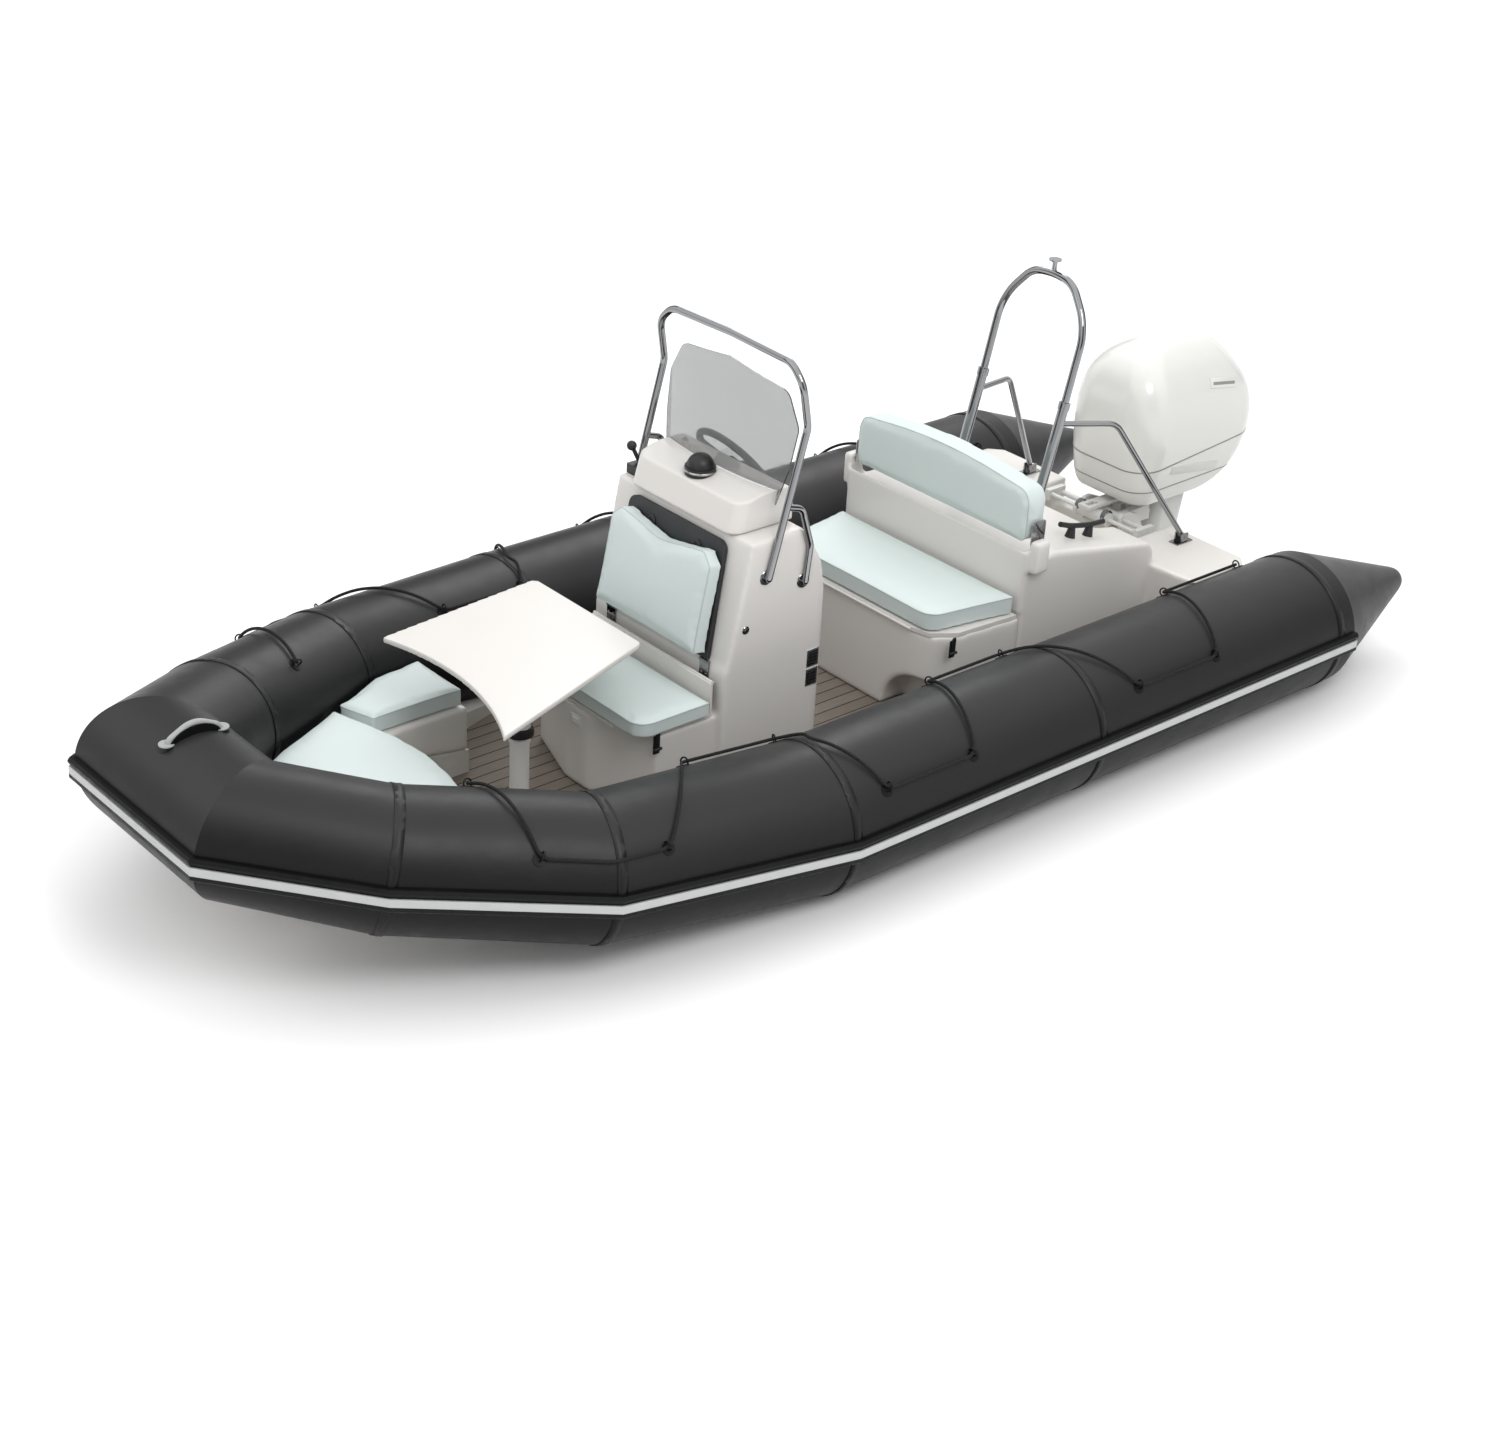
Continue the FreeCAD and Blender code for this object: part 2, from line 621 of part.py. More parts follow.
def make_bow_fittings():
    top = S.bow_z + S.bow_radius
    half = S.handle_length / 2
    fall = S.bow_radius - math.sqrt(S.bow_radius ** 2 - half ** 2)
    points = [Vector(S.bow_x + half, 0, top - fall - 4), Vector(S.bow_x + half - 12, 0, top - fall + 22),
              Vector(S.bow_x, 0, top + S.handle_rise), Vector(S.bow_x - half + 12, 0, top - fall + 22),
              Vector(S.bow_x - half, 0, top - fall - 4)]
    grip = pipe(points, 11)
    pads = [rod(Vector(x, 0, top - fall - 12), Vector(x, 0, top - fall + 12), 26)
            for x in (S.bow_x + half, S.bow_x - half)]
    solid("bow_handle", minus(grip.fuse(pads), ALL_TUBES))
    stem = S.bow_x - 127
    eye = pipe([Vector(stem - 44, 0, 119), Vector(stem - 16, 0, 80), Vector(stem + 44, 0, 123),
                Vector(stem + 16, 0, 162)], 7)
    solid("towing_eye", minus(eye, HULL))


def make_bow_seat():
    low, top = S.deck_z, S.bowseat_top
    aft, well, nose = S.bowseat_aft_x, S.footwell_x, S.bow_x - S.bowseat_nose
    half, cx, cy = S.footwell_half, S.bowseat_corner_x, S.bowseat_corner_y
    forward = [(cx + 60, 640), (nose - 130, 420), (nose, 150)]
    forward += [(x, -y) for x, y in reversed(forward)]
    plan = [(well, half), (cx, cy)] + forward + [(aft, -720), (aft, -half), (well, -half)]
    base = slab([Vector(x, y, low) for x, y in plan], Vector(0, 0, top - low))
    rim = [edge for edge in base.Edges if along(Z)(edge) and abs(edge.CenterOfMass.x - well) < 1]
    base = minus(base.makeFillet(90, rim), HULL, ALL_TUBES)
    above_hull = max(base.Solids, key=lambda each: each.CenterOfMass.z)
    solid("bow_seat_base", above_hull)
    z0, thick, seam = top + S.seat_gap, S.bow_cushion_thick, S.cushion_seam
    edge_points = [(well, 0), (well + 18, 170), (well + 50, half), (cx, cy)]
    centre = edge_points + forward + [(x, -y) for x, y in reversed(edge_points[1:])]
    middle = slab([Vector(x, y, z0) for x, y in centre], Vector(0, 0, thick))
    side = [(aft + 6, half + 2), (aft + 6, 720), (cx + 20 - seam, 700), (cx - seam, cy),
            (well + 50 - seam, half + 2)]
    arm = slab([Vector(x, -y, z0) for x, y in side], Vector(0, 0, thick))
    solid("bow_cushions", Part.makeCompound([minus(each, WIDE_TUBES) for each in (middle, arm)]))


# ---------------------------------------------------------------- console

def make_console():
    body = new_body("console_body")
    profile = [("console_aft_x", "deck_z"), ("console_front_x", "deck_z"),
               ("console_front_x", "lean_z - 12"), ("lean_x", "lean_z"),
               ("lean_x - (console_top - lean_z) * tan(lean_deg * 1 deg)", "console_top"),
               ("console_shoulder_x", "console_top"), ("console_dash_x", "console_dash_z"),
               ("console_aft_x", "console_knee_z")]
    pad(body, outline(body, "XZ_Plane", profile), "2 * console_half", both=True)
    long_edges = lambda edge: (along(Z)(edge) and edge.CenterOfMass.x < S.console_aft_x + 5)
    soften(body, long_edges, "console_round")
    seat = [("console_front_x", "front_base_half"), ("front_base_side_x", "front_base_half"),
            ("front_base_x", "front_base_nose")]
    pad(body, outline(body, "XY_Plane", mirrored(seat), "deck_z"), "front_base_top - deck_z")
    locker = [("console_front_x + console_wall", "front_base_half - console_wall"),
              ("front_base_side_x - console_wall", "front_base_half - console_wall"),
              ("front_base_side_x - console_wall", "-(front_base_half - console_wall)"),
              ("console_front_x + console_wall", "-(front_base_half - console_wall)")]
    pocket(body, outline(body, "XY_Plane", locker, "front_base_top"),
           "front_base_top - deck_z - console_wall")
    stowage = [("console_dash_x + console_wall + 20", "deck_z + console_wall"),
               ("console_front_x - console_wall", "deck_z + console_wall"),
               ("console_front_x - console_wall", "lean_z + console_wall"),
               ("lean_x", "lean_z + console_wall"),
               ("lean_x", "console_top - 2 * console_wall"),
               ("console_dash_x + 100", "console_top - 2 * console_wall"),
               ("console_dash_x + console_wall + 20", "console_knee_z")]
    pocket(body, outline(body, "XZ_Plane", stowage), "2 * (panel_half - 2 * console_wall)", both=True)
    keep(body, "console_body")


def make_dash_pod():
    body = new_body("dash_pod")
    profile = [("pod_x", "console_top"), ("pod_front_x", "console_top"),
               ("pod_front_x - 34", "console_top + pod_rise - pod_lip"),
               ("screen_x + 30", "console_top + pod_rise"),
               ("pod_x + 20", "console_top + pod_rise"), ("pod_x", "console_top + pod_rise - pod_lip")]
    pad(body, outline(body, "XZ_Plane", profile), "2 * pod_half", both=True)
    front = lambda edge: (edge.CenterOfMass.x > S.pod_front_x - 30 and abs(edge.CenterOfMass.y) > S.pod_half - 1
                          and edge.CenterOfMass.z > S.console_top + 20)
    soften(body, front, "pod_round")
    keep(body, "dash_pod")


def make_windscreen():
    """A sheet bent in plan, with lower corners that reach down beside the dash pod."""
    half, high, foot = S.screen_half, S.screen_height, S.pod_half + S.cushion_seam
    shape = [(foot, -S.screen_ear), (half - 14, 90), (half, 250), (half - 66, high - 40)]
    shape = shape + [(0, high)] + [(-y, z) for y, z in reversed(shape)]
    blank = slab([Vector(-200, y, z) for y, z in shape], Vector(400, 0, 0))
    blank = blank.makeFillet(60, [edge for edge in blank.Edges if along(X)(edge) and edge.CenterOfMass.z > 200
                                  and abs(edge.CenterOfMass.y) > 1])
    centre = Vector(-S.screen_bow, 0, -S.screen_ear - 10)
    tall = high + S.screen_ear + 20
    shell = Part.makeCylinder(S.screen_bow + S.screen_thick, tall, centre).cut(
        Part.makeCylinder(S.screen_bow, tall, centre))
    sheet = blank.common(shell)
    crown = S.console_top + S.pod_rise + S.seat_gap
    sheet.Placement = Placement(Vector(S.screen_x, 0, crown), Rotation(Y, -S.screen_lean_deg))
    solid("windscreen", sheet.cut(block(S.pod_x - 200, S.pod_front_x, -foot, foot, S.console_top, crown)))


def make_console_rails():
    half, radius = S.rail_half, S.rail_radius
    crown = S.console_top + S.pod_rise
    top = crown + S.screen_height + S.rail_over
    foot, grab_foot = S.console_top - S.rail_foot_down, S.console_top - S.grab_foot_down
    front = [Vector(S.screen_x + 71, half, foot), Vector(S.screen_x - 71, half, top - 232),
             Vector(S.screen_x - 40, half - 4, top - 72), Vector(S.screen_x - 41, half - 70, top - 8)]
    whole = front + [Vector(S.screen_x - 43, 0, top)] + [Vector(p.x, -p.y, p.z) for p in reversed(front)]
    hoop = pipe(whole, radius, 90)
    side = [Vector(S.screen_x + 4, half, crown - 22), Vector(S.screen_x - 71, half, crown - 44),
            Vector(S.screen_x - 125, half, S.console_top - 65), Vector(S.screen_x - 111, half, grab_foot)]
    grab = pipe(side, radius - 2, 50)
    feet = []
    for x, z, thick in ((S.screen_x + 71, foot, radius), (S.screen_x - 111, grab_foot, radius - 2)):
        start = Vector(x, S.console_half, z)
        feet += [rod(start, start + Y * 5, 27), rod(start, Vector(x, half, z), thick),
                 Part.makeSphere(thick, Vector(x, half, z))]
    port = grab.fuse(feet)
    solid("console_rails", hoop.fuse([port, port.mirror(Vector(0, 0, 0), Y)]))


def make_compass():
    crown = S.console_top + S.pod_rise
    seat = Vector(S.compass_x, 0, crown - 16)
    bowl = Part.makeSphere(S.compass_radius, seat + Z * 26)
    ring = Part.makeCylinder(S.compass_radius + 6, 30, seat)
    below = block(S.compass_x - 200, S.compass_x + 200, -200, 200, crown - 216, crown - 16)
    solid("compass", minus(bowl.fuse(ring).cut(below), node("dash_pod")))


def helm_frame():
    """The steering wheel's placement: its axis points aft and up."""
    axis = Vector(-math.cos(math.radians(S.wheel_tilt_deg)), 0, math.sin(math.radians(S.wheel_tilt_deg)))
    return Vector(S.wheel_x, S.wheel_y, S.wheel_z), axis


def make_helm():
    centre, axis = helm_frame()
    console = node("console_body")
    column = rod(centre - axis * 46, centre - axis * 160, 34)
    low = S.console_top
    box = block(356, 446, -374, -308, low, low + 38)
    lever = rod(Vector(400, -348, low + 30), Vector(424, -366, low + 92), 8)
    knob = Part.makeSphere(19, Vector(428, -370, low + 104))
    control = box.fuse([lever, knob])
    solid("helm_controls", Part.makeCompound([minus(column, console), control]))
    rim = Part.makeTorus(S.wheel_radius, S.wheel_rim, centre, axis)
    hub = rod(centre - axis * 40, centre + axis * 8, 32)
    spokes = []
    across = axis.cross(Y).normalize()
    for turn in (0, 120, 240):
        way = Rotation(axis, turn).multVec(across)
        bar = block(20, S.wheel_radius, -14, 14, -5, 5)
        bar.Placement = Placement(centre - axis * 8, Rotation(way, axis.cross(way), axis))
        spokes.append(bar)
    solid("steering_wheel", rim.fuse([hub] + spokes))


def lean_place(out):
    """A frame on the leaning back face: X out of the face, Y to port, Z up along it."""
    turn = Rotation(Y, -S.lean_deg)
    return Placement(Vector(S.lean_x, 0, S.lean_z) + turn.multVec(X) * out, turn)


def with_knuckle(board, name, x, z, length):
    """The lid joined to a round knuckle along its hinge's axis."""
    pin = DOC.addObject("Part::Cylinder", name + "_knuckle")
    pin.setExpression("Radius", named("knuckle_radius"))
    pin.setExpression("Height", named(length))
    pin.Placement = Placement(Vector(), Rotation(Z, Y))
    pin.setExpression("Placement.Base.x", named(x))
    pin.setExpression("Placement.Base.y", named(f"-({length}) / 2"))
    pin.setExpression("Placement.Base.z", named(z))
    whole = DOC.addObject("Part::MultiFuse", name + "_whole")
    whole.Shapes = [board, pin]
    keep(whole, name)


def make_front_seat():
    lid = new_body("front_lid_board")
    plan = [("lid_hinge_x", "front_base_half"), ("front_base_side_x", "front_base_half"),
            ("front_base_x - 4", "front_base_nose + 150")]
    pad(lid, outline(lid, "XY_Plane", mirrored(plan), "front_base_top + seat_gap"), "front_lid_thick")
    riser = [("lid_hinge_x", "front_base_top + seat_gap"),
             ("lid_hinge_x + riser_thick", "front_base_top + seat_gap"),
             ("lid_hinge_x + riser_thick", "lid_hinge_z - 4"), ("lid_hinge_x + 4", "lid_hinge_z"),
             ("lid_hinge_x", "lid_hinge_z")]
    pad(lid, outline(lid, "XZ_Plane", riser), "2 * front_base_half", both=True)
    with_knuckle(lid, "front_seat_lid", "lid_hinge_x", "lid_hinge_z", "2 * front_base_half")
    cushion = new_body("front_seat_cushion")
    plan = [("front_cushion_aft_x", "front_cushion_half"), ("front_cushion_x", "front_cushion_half")]
    pad(cushion, outline(cushion, "XY_Plane", mirrored(plan),
                         "front_base_top + front_lid_thick + 2 * seat_gap"), "front_cushion_thick")
    corners = lambda edge: along(Z)(edge) and edge.CenterOfMass.x > S.front_cushion_x - 5
    soften(cushion, corners, "seat_corner")
    keep(cushion, "front_seat_cushion")
    half, height = S.panel_half, S.panel_height
    narrow = half - S.panel_taper
    board = slab([Vector(0, -half, 8), Vector(0, half, 8), Vector(0, narrow, height),
                  Vector(0, -narrow, height)],
                 Vector(S.panel_thick, 0, 0))
    board = board.makeFillet(S.panel_round, [edge for edge in board.Edges if along(X)(edge)
                                             and edge.CenterOfMass.z > height - 5])
    board.Placement = lean_place(S.move_gap)
    solid("back_panel", board)
    half, high = S.back_cushion_half, S.back_cushion_height
    soft = [Vector(0, half, 14), Vector(0, half, high - 50), Vector(0, half - 50, high),
            Vector(0, 170, high - 8)]
    soft = soft + [Vector(0, 0, high - 36)] + [Vector(0, -p.y, p.z) for p in reversed(soft)]
    pad_shape = slab(soft, Vector(S.back_cushion_thick, 0, 0))
    pad_shape.Placement = lean_place(S.move_gap + S.panel_thick + S.seat_gap)
    solid("back_cushion", pad_shape)


def make_hinges():
    """Two chrome hinges: a lower leaf on the console and a round knuckle under the back panel."""
    leaves = []
    for y in (-S.panel_half - 8, S.panel_half + 8 - S.hinge_width):
        axis = Vector(S.lean_x + 14, y, S.lean_z - 2)
        knuckle = rod(axis, axis + Y * S.hinge_width, 7)
        leaf = block(S.console_front_x, S.console_front_x + 6, y, y + S.hinge_width, axis.z - S.hinge_leaf,
                     axis.z)
        leaves.append(knuckle.fuse(leaf))
    console = node("console_body")
    solid("seat_hinges", Part.makeCompound([minus(leaf, console) for leaf in leaves]))


# ---------------------------------------------------------------- bench and stern

def make_bench():
    body = new_body("bench_base")
    plan = [("moulding_x + seat_gap", "moulding_half"), ("bench_side_x", "bench_half"),
            ("bench_front_x - 20", "bench_front_half + 90"), ("bench_front_x", "bench_front_half")]
    pad(body, outline(body, "XY_Plane", mirrored(plan), "deck_z"), "bench_top - deck_z")
    hollow = [("moulding_x + console_wall", "bench_front_half - console_wall"),
              ("bench_front_x - console_wall", "bench_front_half - console_wall"),
              ("bench_front_x - console_wall", "-(bench_front_half - console_wall)"),
              ("moulding_x + console_wall", "-(bench_front_half - console_wall)")]
    pocket(body, outline(body, "XY_Plane", hollow, "bench_top"), "bench_top - deck_z - 200")
    body.Label = "bench_block"
    toes = []
    for name, sign in (("toe_port", ""), ("toe_starboard", "-")):
        toe = DOC.addObject("Part::Cylinder", name)
        toe.setExpression("Radius", named("toe_radius"))
        toe.setExpression("Height", named("150"))
        toe.Placement = Placement(Vector(), Rotation(Z, X))
        toe.setExpression("Placement.Base.x", named("bench_front_x - 130"))
        toe.setExpression("Placement.Base.y", named(sign + "(bench_front_half + 45)"))
        toe.setExpression("Placement.Base.z", named("deck_z"))
        toes.append(toe)
    both = DOC.addObject("Part::MultiFuse", "toes")
    both.Shapes = toes
    cut = DOC.addObject("Part::Cut", "bench_base_cut")
    cut.Base, cut.Tool = body, both
    keep(cut, "bench_base")
    lid = new_body("bench_lid_board")
    plan = [("bench_cushion_aft_x", "moulding_half - 6"), ("bench_side_x", "bench_half - 4"),
            ("bench_front_x - 16", "bench_front_half + 80"), ("bench_front_x + 4", "bench_front_half")]
    pad(lid, outline(lid, "XY_Plane", mirrored(plan), "bench_top + seat_gap"), "bench_lid_thick")
    with_knuckle(lid, "bench_lid", "bench_front_x + 8", "bench_top + seat_gap + bench_lid_thick / 2",
                 "2 * (bench_front_half - 5)")
    cushion = new_body("bench_cushion")
    plan = [("bench_cushion_aft_x", "bench_cushion_half"), ("bench_cushion_x", "bench_cushion_front_half")]
    pad(cushion, outline(cushion, "XY_Plane", mirrored(plan), "bench_top + bench_lid_thick + 2 * seat_gap"),
        "bench_cushion_thick")
    corners = lambda edge: along(Z)(edge) and edge.CenterOfMass.x > S.bench_cushion_x - 5
    soften(cushion, corners, "seat_corner")
    keep(cushion, "bench_cushion")


def make_moulding():
    body = new_body("stern_block")
    profile = [("moulding_x", "deck_z - deck_thick"), ("moulding_x", "bench_top + bench_lid_thick"),
               ("moulding_x + 8", "bench_top + bench_lid_thick"), ("moulding_x + 8", "back_panel_top"),
               ("moulding_x - 1", "back_panel_top"), ("moulding_x - 1", "trough_z - 4"),
               ("moulding_x - 140", "trough_z - 4"), ("moulding_x - 175", "moulding_high"),
               ("moulding_aft_x + 30", "moulding_low"), ("moulding_aft_x", "moulding_low - 40"),
               ("moulding_aft_x", "well_floor"), ("transom_x + transom_thick", "well_floor"),
               ("transom_x + transom_thick", "transom_top"), ("transom_x", "transom_top"),
               ("transom_x", "deck_z - deck_thick")]
    pad(body, outline(body, "XZ_Plane", profile), "2 * moulding_half", both=True)
    notch = [("tilt_notch_x", "well_half"), ("moulding_aft_x - 40", "well_half"),
             ("moulding_aft_x - 40", "-well_half"), ("tilt_notch_x", "-well_half")]
    pocket(body, outline(body, "XY_Plane", notch, "moulding_high"), "moulding_high - tilt_notch_z")
    wing = [("wing_aft_x", "well_half"), ("wing_aft_x", "wing_out - 60"), ("wing_aft_x + 60", "wing_out"),
            ("moulding_aft_x", "wing_out"), ("moulding_aft_x + 40", "well_half")]
    for side in ("", "-"):
        shape = [(x, f"{side}({y})") for x, y in wing]
        pad(body, outline(body, "XY_Plane", shape, "deck_z - deck_thick"), "wing_top - deck_z + deck_thick")
    for side in ("", "-"):
        pod = [(x, f"{side}({y})") for x, y in (
            ("backrest_x - 1", "backrest_half + move_gap"),
            ("backrest_x - 1", "backrest_half + move_gap + pod_width"),
            ("backrest_x - pod_length", "backrest_half + move_gap + pod_width"),
            ("backrest_x - pod_length", "backrest_half + move_gap"))]
        pad(body, outline(body, "XY_Plane", pod, "trough_z - 45"), "backrest_pin_z + 22 - trough_z + 45")
    DOC.recompute()
    whole = minus(body.Shape, ALL_TUBES)
    for side in (-1, 1):
        end = Vector(S.backrest_x - S.backrest_thick / 2, side * (S.backrest_half + S.move_gap + 30),
                     S.backrest_pin_z)
        whole = whole.cut(rod(end, end - Y * side * 60, S.backrest_pin + S.pin_gap))
    solid("stern_moulding", whole)


def make_backrest():
    x0, x1 = S.backrest_x - S.backrest_thick, S.backrest_x
    half = S.backrest_half - 6
    low, side_top = S.backrest_low, S.backrest_side_top
    left, right = Vector(x0, -half, side_top), Vector(x0, half, side_top)
    rim = Part.Wire([Part.LineSegment(left, Vector(x0, -half, low)).toShape(),
                     Part.LineSegment(Vector(x0, -half, low), Vector(x0, half, low)).toShape(),
                     Part.LineSegment(Vector(x0, half, low), right).toShape(),
                     Part.Arc(right, Vector(x0, 0, S.backrest_top), left).toShape()])
    soft = outward(Part.Face(rim).extrude(X * S.backrest_thick))
    upper = lambda edge: along(X)(edge) and edge.CenterOfMass.z > low + 100
    lower = lambda edge: along(X)(edge) and edge.CenterOfMass.z < low + 100
    soft = soft.makeFillet(S.backrest_round, [edge for edge in soft.Edges if upper(edge)])
    soft = soft.makeFillet(40, [edge for edge in soft.Edges if lower(edge)])
    solid("bench_backrest", soft)
    centre = (x0 + x1) / 2
    arms = []
    for side in (-1, 1):
        near, far = side * (half + S.seat_gap), side * (half + S.seat_gap + 5)
        plate = block(x0 + 18, x1 - 18, min(near, far), max(near, far), S.backrest_low + 1,
                      S.backrest_pin_z + 90)
        plate = plate.makeFillet(14, [edge for edge in plate.Edges if along(Y)(edge)])
        pin = rod(Vector(centre, near, S.backrest_pin_z),
                  Vector(centre, side * (S.backrest_half + S.move_gap + 28), S.backrest_pin_z),
                  S.backrest_pin)
        arms.append(plate.fuse(pin))
    solid("backrest_arms", Part.makeCompound(arms))


def moulding_height(x):
    """The sloping top of the stern moulding at a station."""
    start, end = S.moulding_x - 175, S.moulding_aft_x + 30
    return S.moulding_high + (S.moulding_low - S.moulding_high) * (start - x) / (start - end)


def make_cleats():
    base = Vector(S.cleat_x, S.cleat_y, moulding_height(S.cleat_x))
    tilt = math.atan((S.moulding_high - S.moulding_low) / (S.moulding_x - 175 - S.moulding_aft_x - 30))
    feet = [Part.makeCone(22, 14, 42, Vector(x, 0, 0), Z) for x in (-55, 55)]
    horn = pipe([Vector(-S.cleat_length / 2, 0, 58), Vector(-60, 0, 47), Vector(60, 0, 47),
                 Vector(S.cleat_length / 2, 0, 58)], 11)
    cleat = feet[0].fuse([feet[1], horn])
    cleat.Placement = Placement(base, Rotation(Y, math.degrees(tilt) * -1))
    solid("cleats", both_sides(cleat))


def make_arch():
    half = S.arch_half
    foot = Vector(S.arch_foot_x, half, moulding_height(S.arch_foot_x))
    sleeve = Vector(S.sleeve_x, half, S.sleeve_z)
    lean = (S.arch_top_x - S.sleeve_x) / (S.arch_top_z - S.sleeve_z)
    def on_arch(y, z):
        return Vector(S.sleeve_x + lean * (z - S.sleeve_z), y, z)
    shoulder = on_arch(half - 30, S.arch_top_z - 120)
    near = on_arch(half - 118, S.arch_top_z - 14)
    route = [sleeve, on_arch(half, S.arch_top_z - 200), shoulder, near, on_arch(0, S.arch_top_z)]
    route = route + [Vector(p.x, -p.y, p.z) for p in reversed(route[:-1])]
    bow = pipe([route[0]] + route[1:-1] + [route[-1]], S.arch_radius)
    legs = []
    for side in (-1, 1):
        low, high = Vector(foot.x, side * half, foot.z - 6), Vector(sleeve.x, side * half, sleeve.z)
        leg = rod(low, high, S.sleeve_radius)
        collar = rod(high - (high - low).normalize() * 30, high, S.sleeve_radius + 3)
        flange = Part.makeCylinder(44, 24, Vector(foot.x, side * half, foot.z - 12), Z)
        legs += [leg, collar, flange]
    post = rod(Vector(S.arch_top_x, 0, S.arch_top_z + 8), Vector(S.arch_top_x, 0, S.arch_top_z + 50), 10)
    disc = Part.makeCylinder(26, 6, Vector(S.arch_top_x, 0, S.arch_top_z + 50), Z)
    whole = bow.fuse(legs + [post, disc])
    moulding = node("stern_moulding")
    arch = minus(whole, moulding)
    solid("ski_arch", arch)
    stays = []
    for side in (-1, 1):
        start = Vector(S.stay_x, side * half, S.stay_z)
        end = Vector(S.stay_foot_x, side * S.stay_foot_y, S.stay_foot_z + 8)
        tube = pipe([start, Vector(S.stay_bend_x, side * S.stay_bend_y, S.stay_bend_z), end], S.stay_radius,
                    90)
        x, y, z = S.stay_foot_x, side * S.stay_foot_y, S.wing_top
        plate = block(x - 48, x + 48, y - 24, y + 24, z, z + 5)
        cheeks = [block(x - 20, x + 20, y + t - 3, y + t + 3, z + 4, z + 42) for t in (-17, 17)]
        pin = rod(Vector(x, y - 22, z + 26), Vector(x, y + 22, z + 26), 6)
        stays.append(minus(tube, arch).fuse([plate] + cheeks + [pin]))
    solid("arch_stays", Part.makeCompound([minus(each, arch) for each in stays]))


# ---------------------------------------------------------------- table

def make_table():
    body = new_body("table_top")
    plan = [("table_aft_x", "table_aft_port"), ("table_front_x", "table_front_port"),
            ("table_front_x", "-table_front_starboard"), ("table_aft_x", "-table_aft_starboard")]
    pad(body, outline(body, "XY_Plane", plan, "table_top - table_thick"), "table_thick")
    soften(body, lambda edge: along(Z)(edge) and edge.CenterOfMass.x < S.table_aft_x + 5, "table_corner")
    plane = [each for each in body.Origin.OriginFeatures if each.Role == "XY_Plane"][0]
    hollow = body.newObject("Sketcher::SketchObject", "table_hollow")
    hollow.AttachmentSupport = [(plane, "")]
    hollow.MapMode = "FlatFace"
    hollow.setExpression("AttachmentOffset.Base.z", named("table_top"))
    radius = S.table_hollow_radius
    centre_x = S.table_front_x - S.table_hollow_deep + radius
    hollow.addGeometry(Part.Circle(Vector(centre_x, 0, 0), Z, radius), False)
    hollow.addConstraint(Sketcher.Constraint("PointOnObject", 0, 3, -1))
    where = hollow.addConstraint(Sketcher.Constraint("DistanceX", -1, 1, 0, 3, centre_x))
    hollow.setExpression(f"Constraints[{where}]",
                         named("table_front_x - table_hollow_deep + table_hollow_radius"))
    bend = hollow.addConstraint(Sketcher.Constraint("Radius", 0, radius))
    hollow.setExpression(f"Constraints[{bend}]", named("table_hollow_radius"))
    DOC.recompute()
    pocket(body, hollow, "table_thick")
    keep(body, "table_top")
    post = DOC.addObject("Part::Cylinder", "post")
    post.setExpression("Radius", named("pedestal_radius"))
    post.setExpression("Height", named("table_top - table_thick - deck_z"))
    collar = DOC.addObject("Part::Cylinder", "collar")
    collar.setExpression("Radius", named("collar_radius"))
    collar.setExpression("Height", named("collar_high - collar_low"))
    foot = DOC.addObject("Part::Cone", "foot")
    foot.setExpression("Radius1", named("pedestal_radius * 2.6"))
    foot.setExpression("Radius2", named("collar_radius"))
    foot.setExpression("Height", named("25"))
    plate = DOC.addObject("Part::Cylinder", "plate")
    plate.setExpression("Radius", named("pedestal_radius * 3"))
    plate.setExpression("Height", named("12"))
    for thing, height in ((post, "deck_z"), (collar, "collar_low"), (foot, "deck_z"),
                          (plate, "table_top - table_thick - 12")):
        thing.setExpression("Placement.Base.x", named("pedestal_x"))
        thing.setExpression("Placement.Base.z", named(height))
    whole = DOC.addObject("Part::MultiFuse", "pedestal")
    whole.Shapes = [post, collar, foot, plate]
    keep(whole, "table_pedestal")


# ---------------------------------------------------------------- lifelines

# Lifeline, from the bow aft: station, 1 where it runs on the inner side of the tube and 0 on the outer.
LIFELINE = [(1900, 1), (1737, 0), (1369, 0), (1075, 1), (683, 1), (478, 0), (54, 0), (-100, 1), (-491, 1),
            (-832, 0), (-1280, 0), (-1412, 1), (-1880, 1)]


def tube_frame(side, x):
    """Centre, radius, outward and upward directions of a side tube at a station."""
    knees = tube_axis(side)
    for (a, ra), (b, rb) in zip(knees, knees[1:]):
        if b.x <= x <= a.x:
            share = (a.x - x) / (a.x - b.x)
            run = (b - a).normalize()
            out = Vector(run.y, -run.x, 0).normalize()
            if out.y * side < 0:
                out = out * -1
            up = out.cross(run)
            up = up if up.z > 0 else up * -1
            return a + (b - a) * share, ra + (rb - ra) * share, out, up
    raise ValueError("station off the tube")


def on_tube(side, x, angle, lift):
    """A point over the tube's surface: angle from its outer side, over the top."""
    centre, radius, out, up = tube_frame(side, x)
    turn = math.radians(angle)
    return centre + (out * math.cos(turn) + up * math.sin(turn)) * (radius + lift)


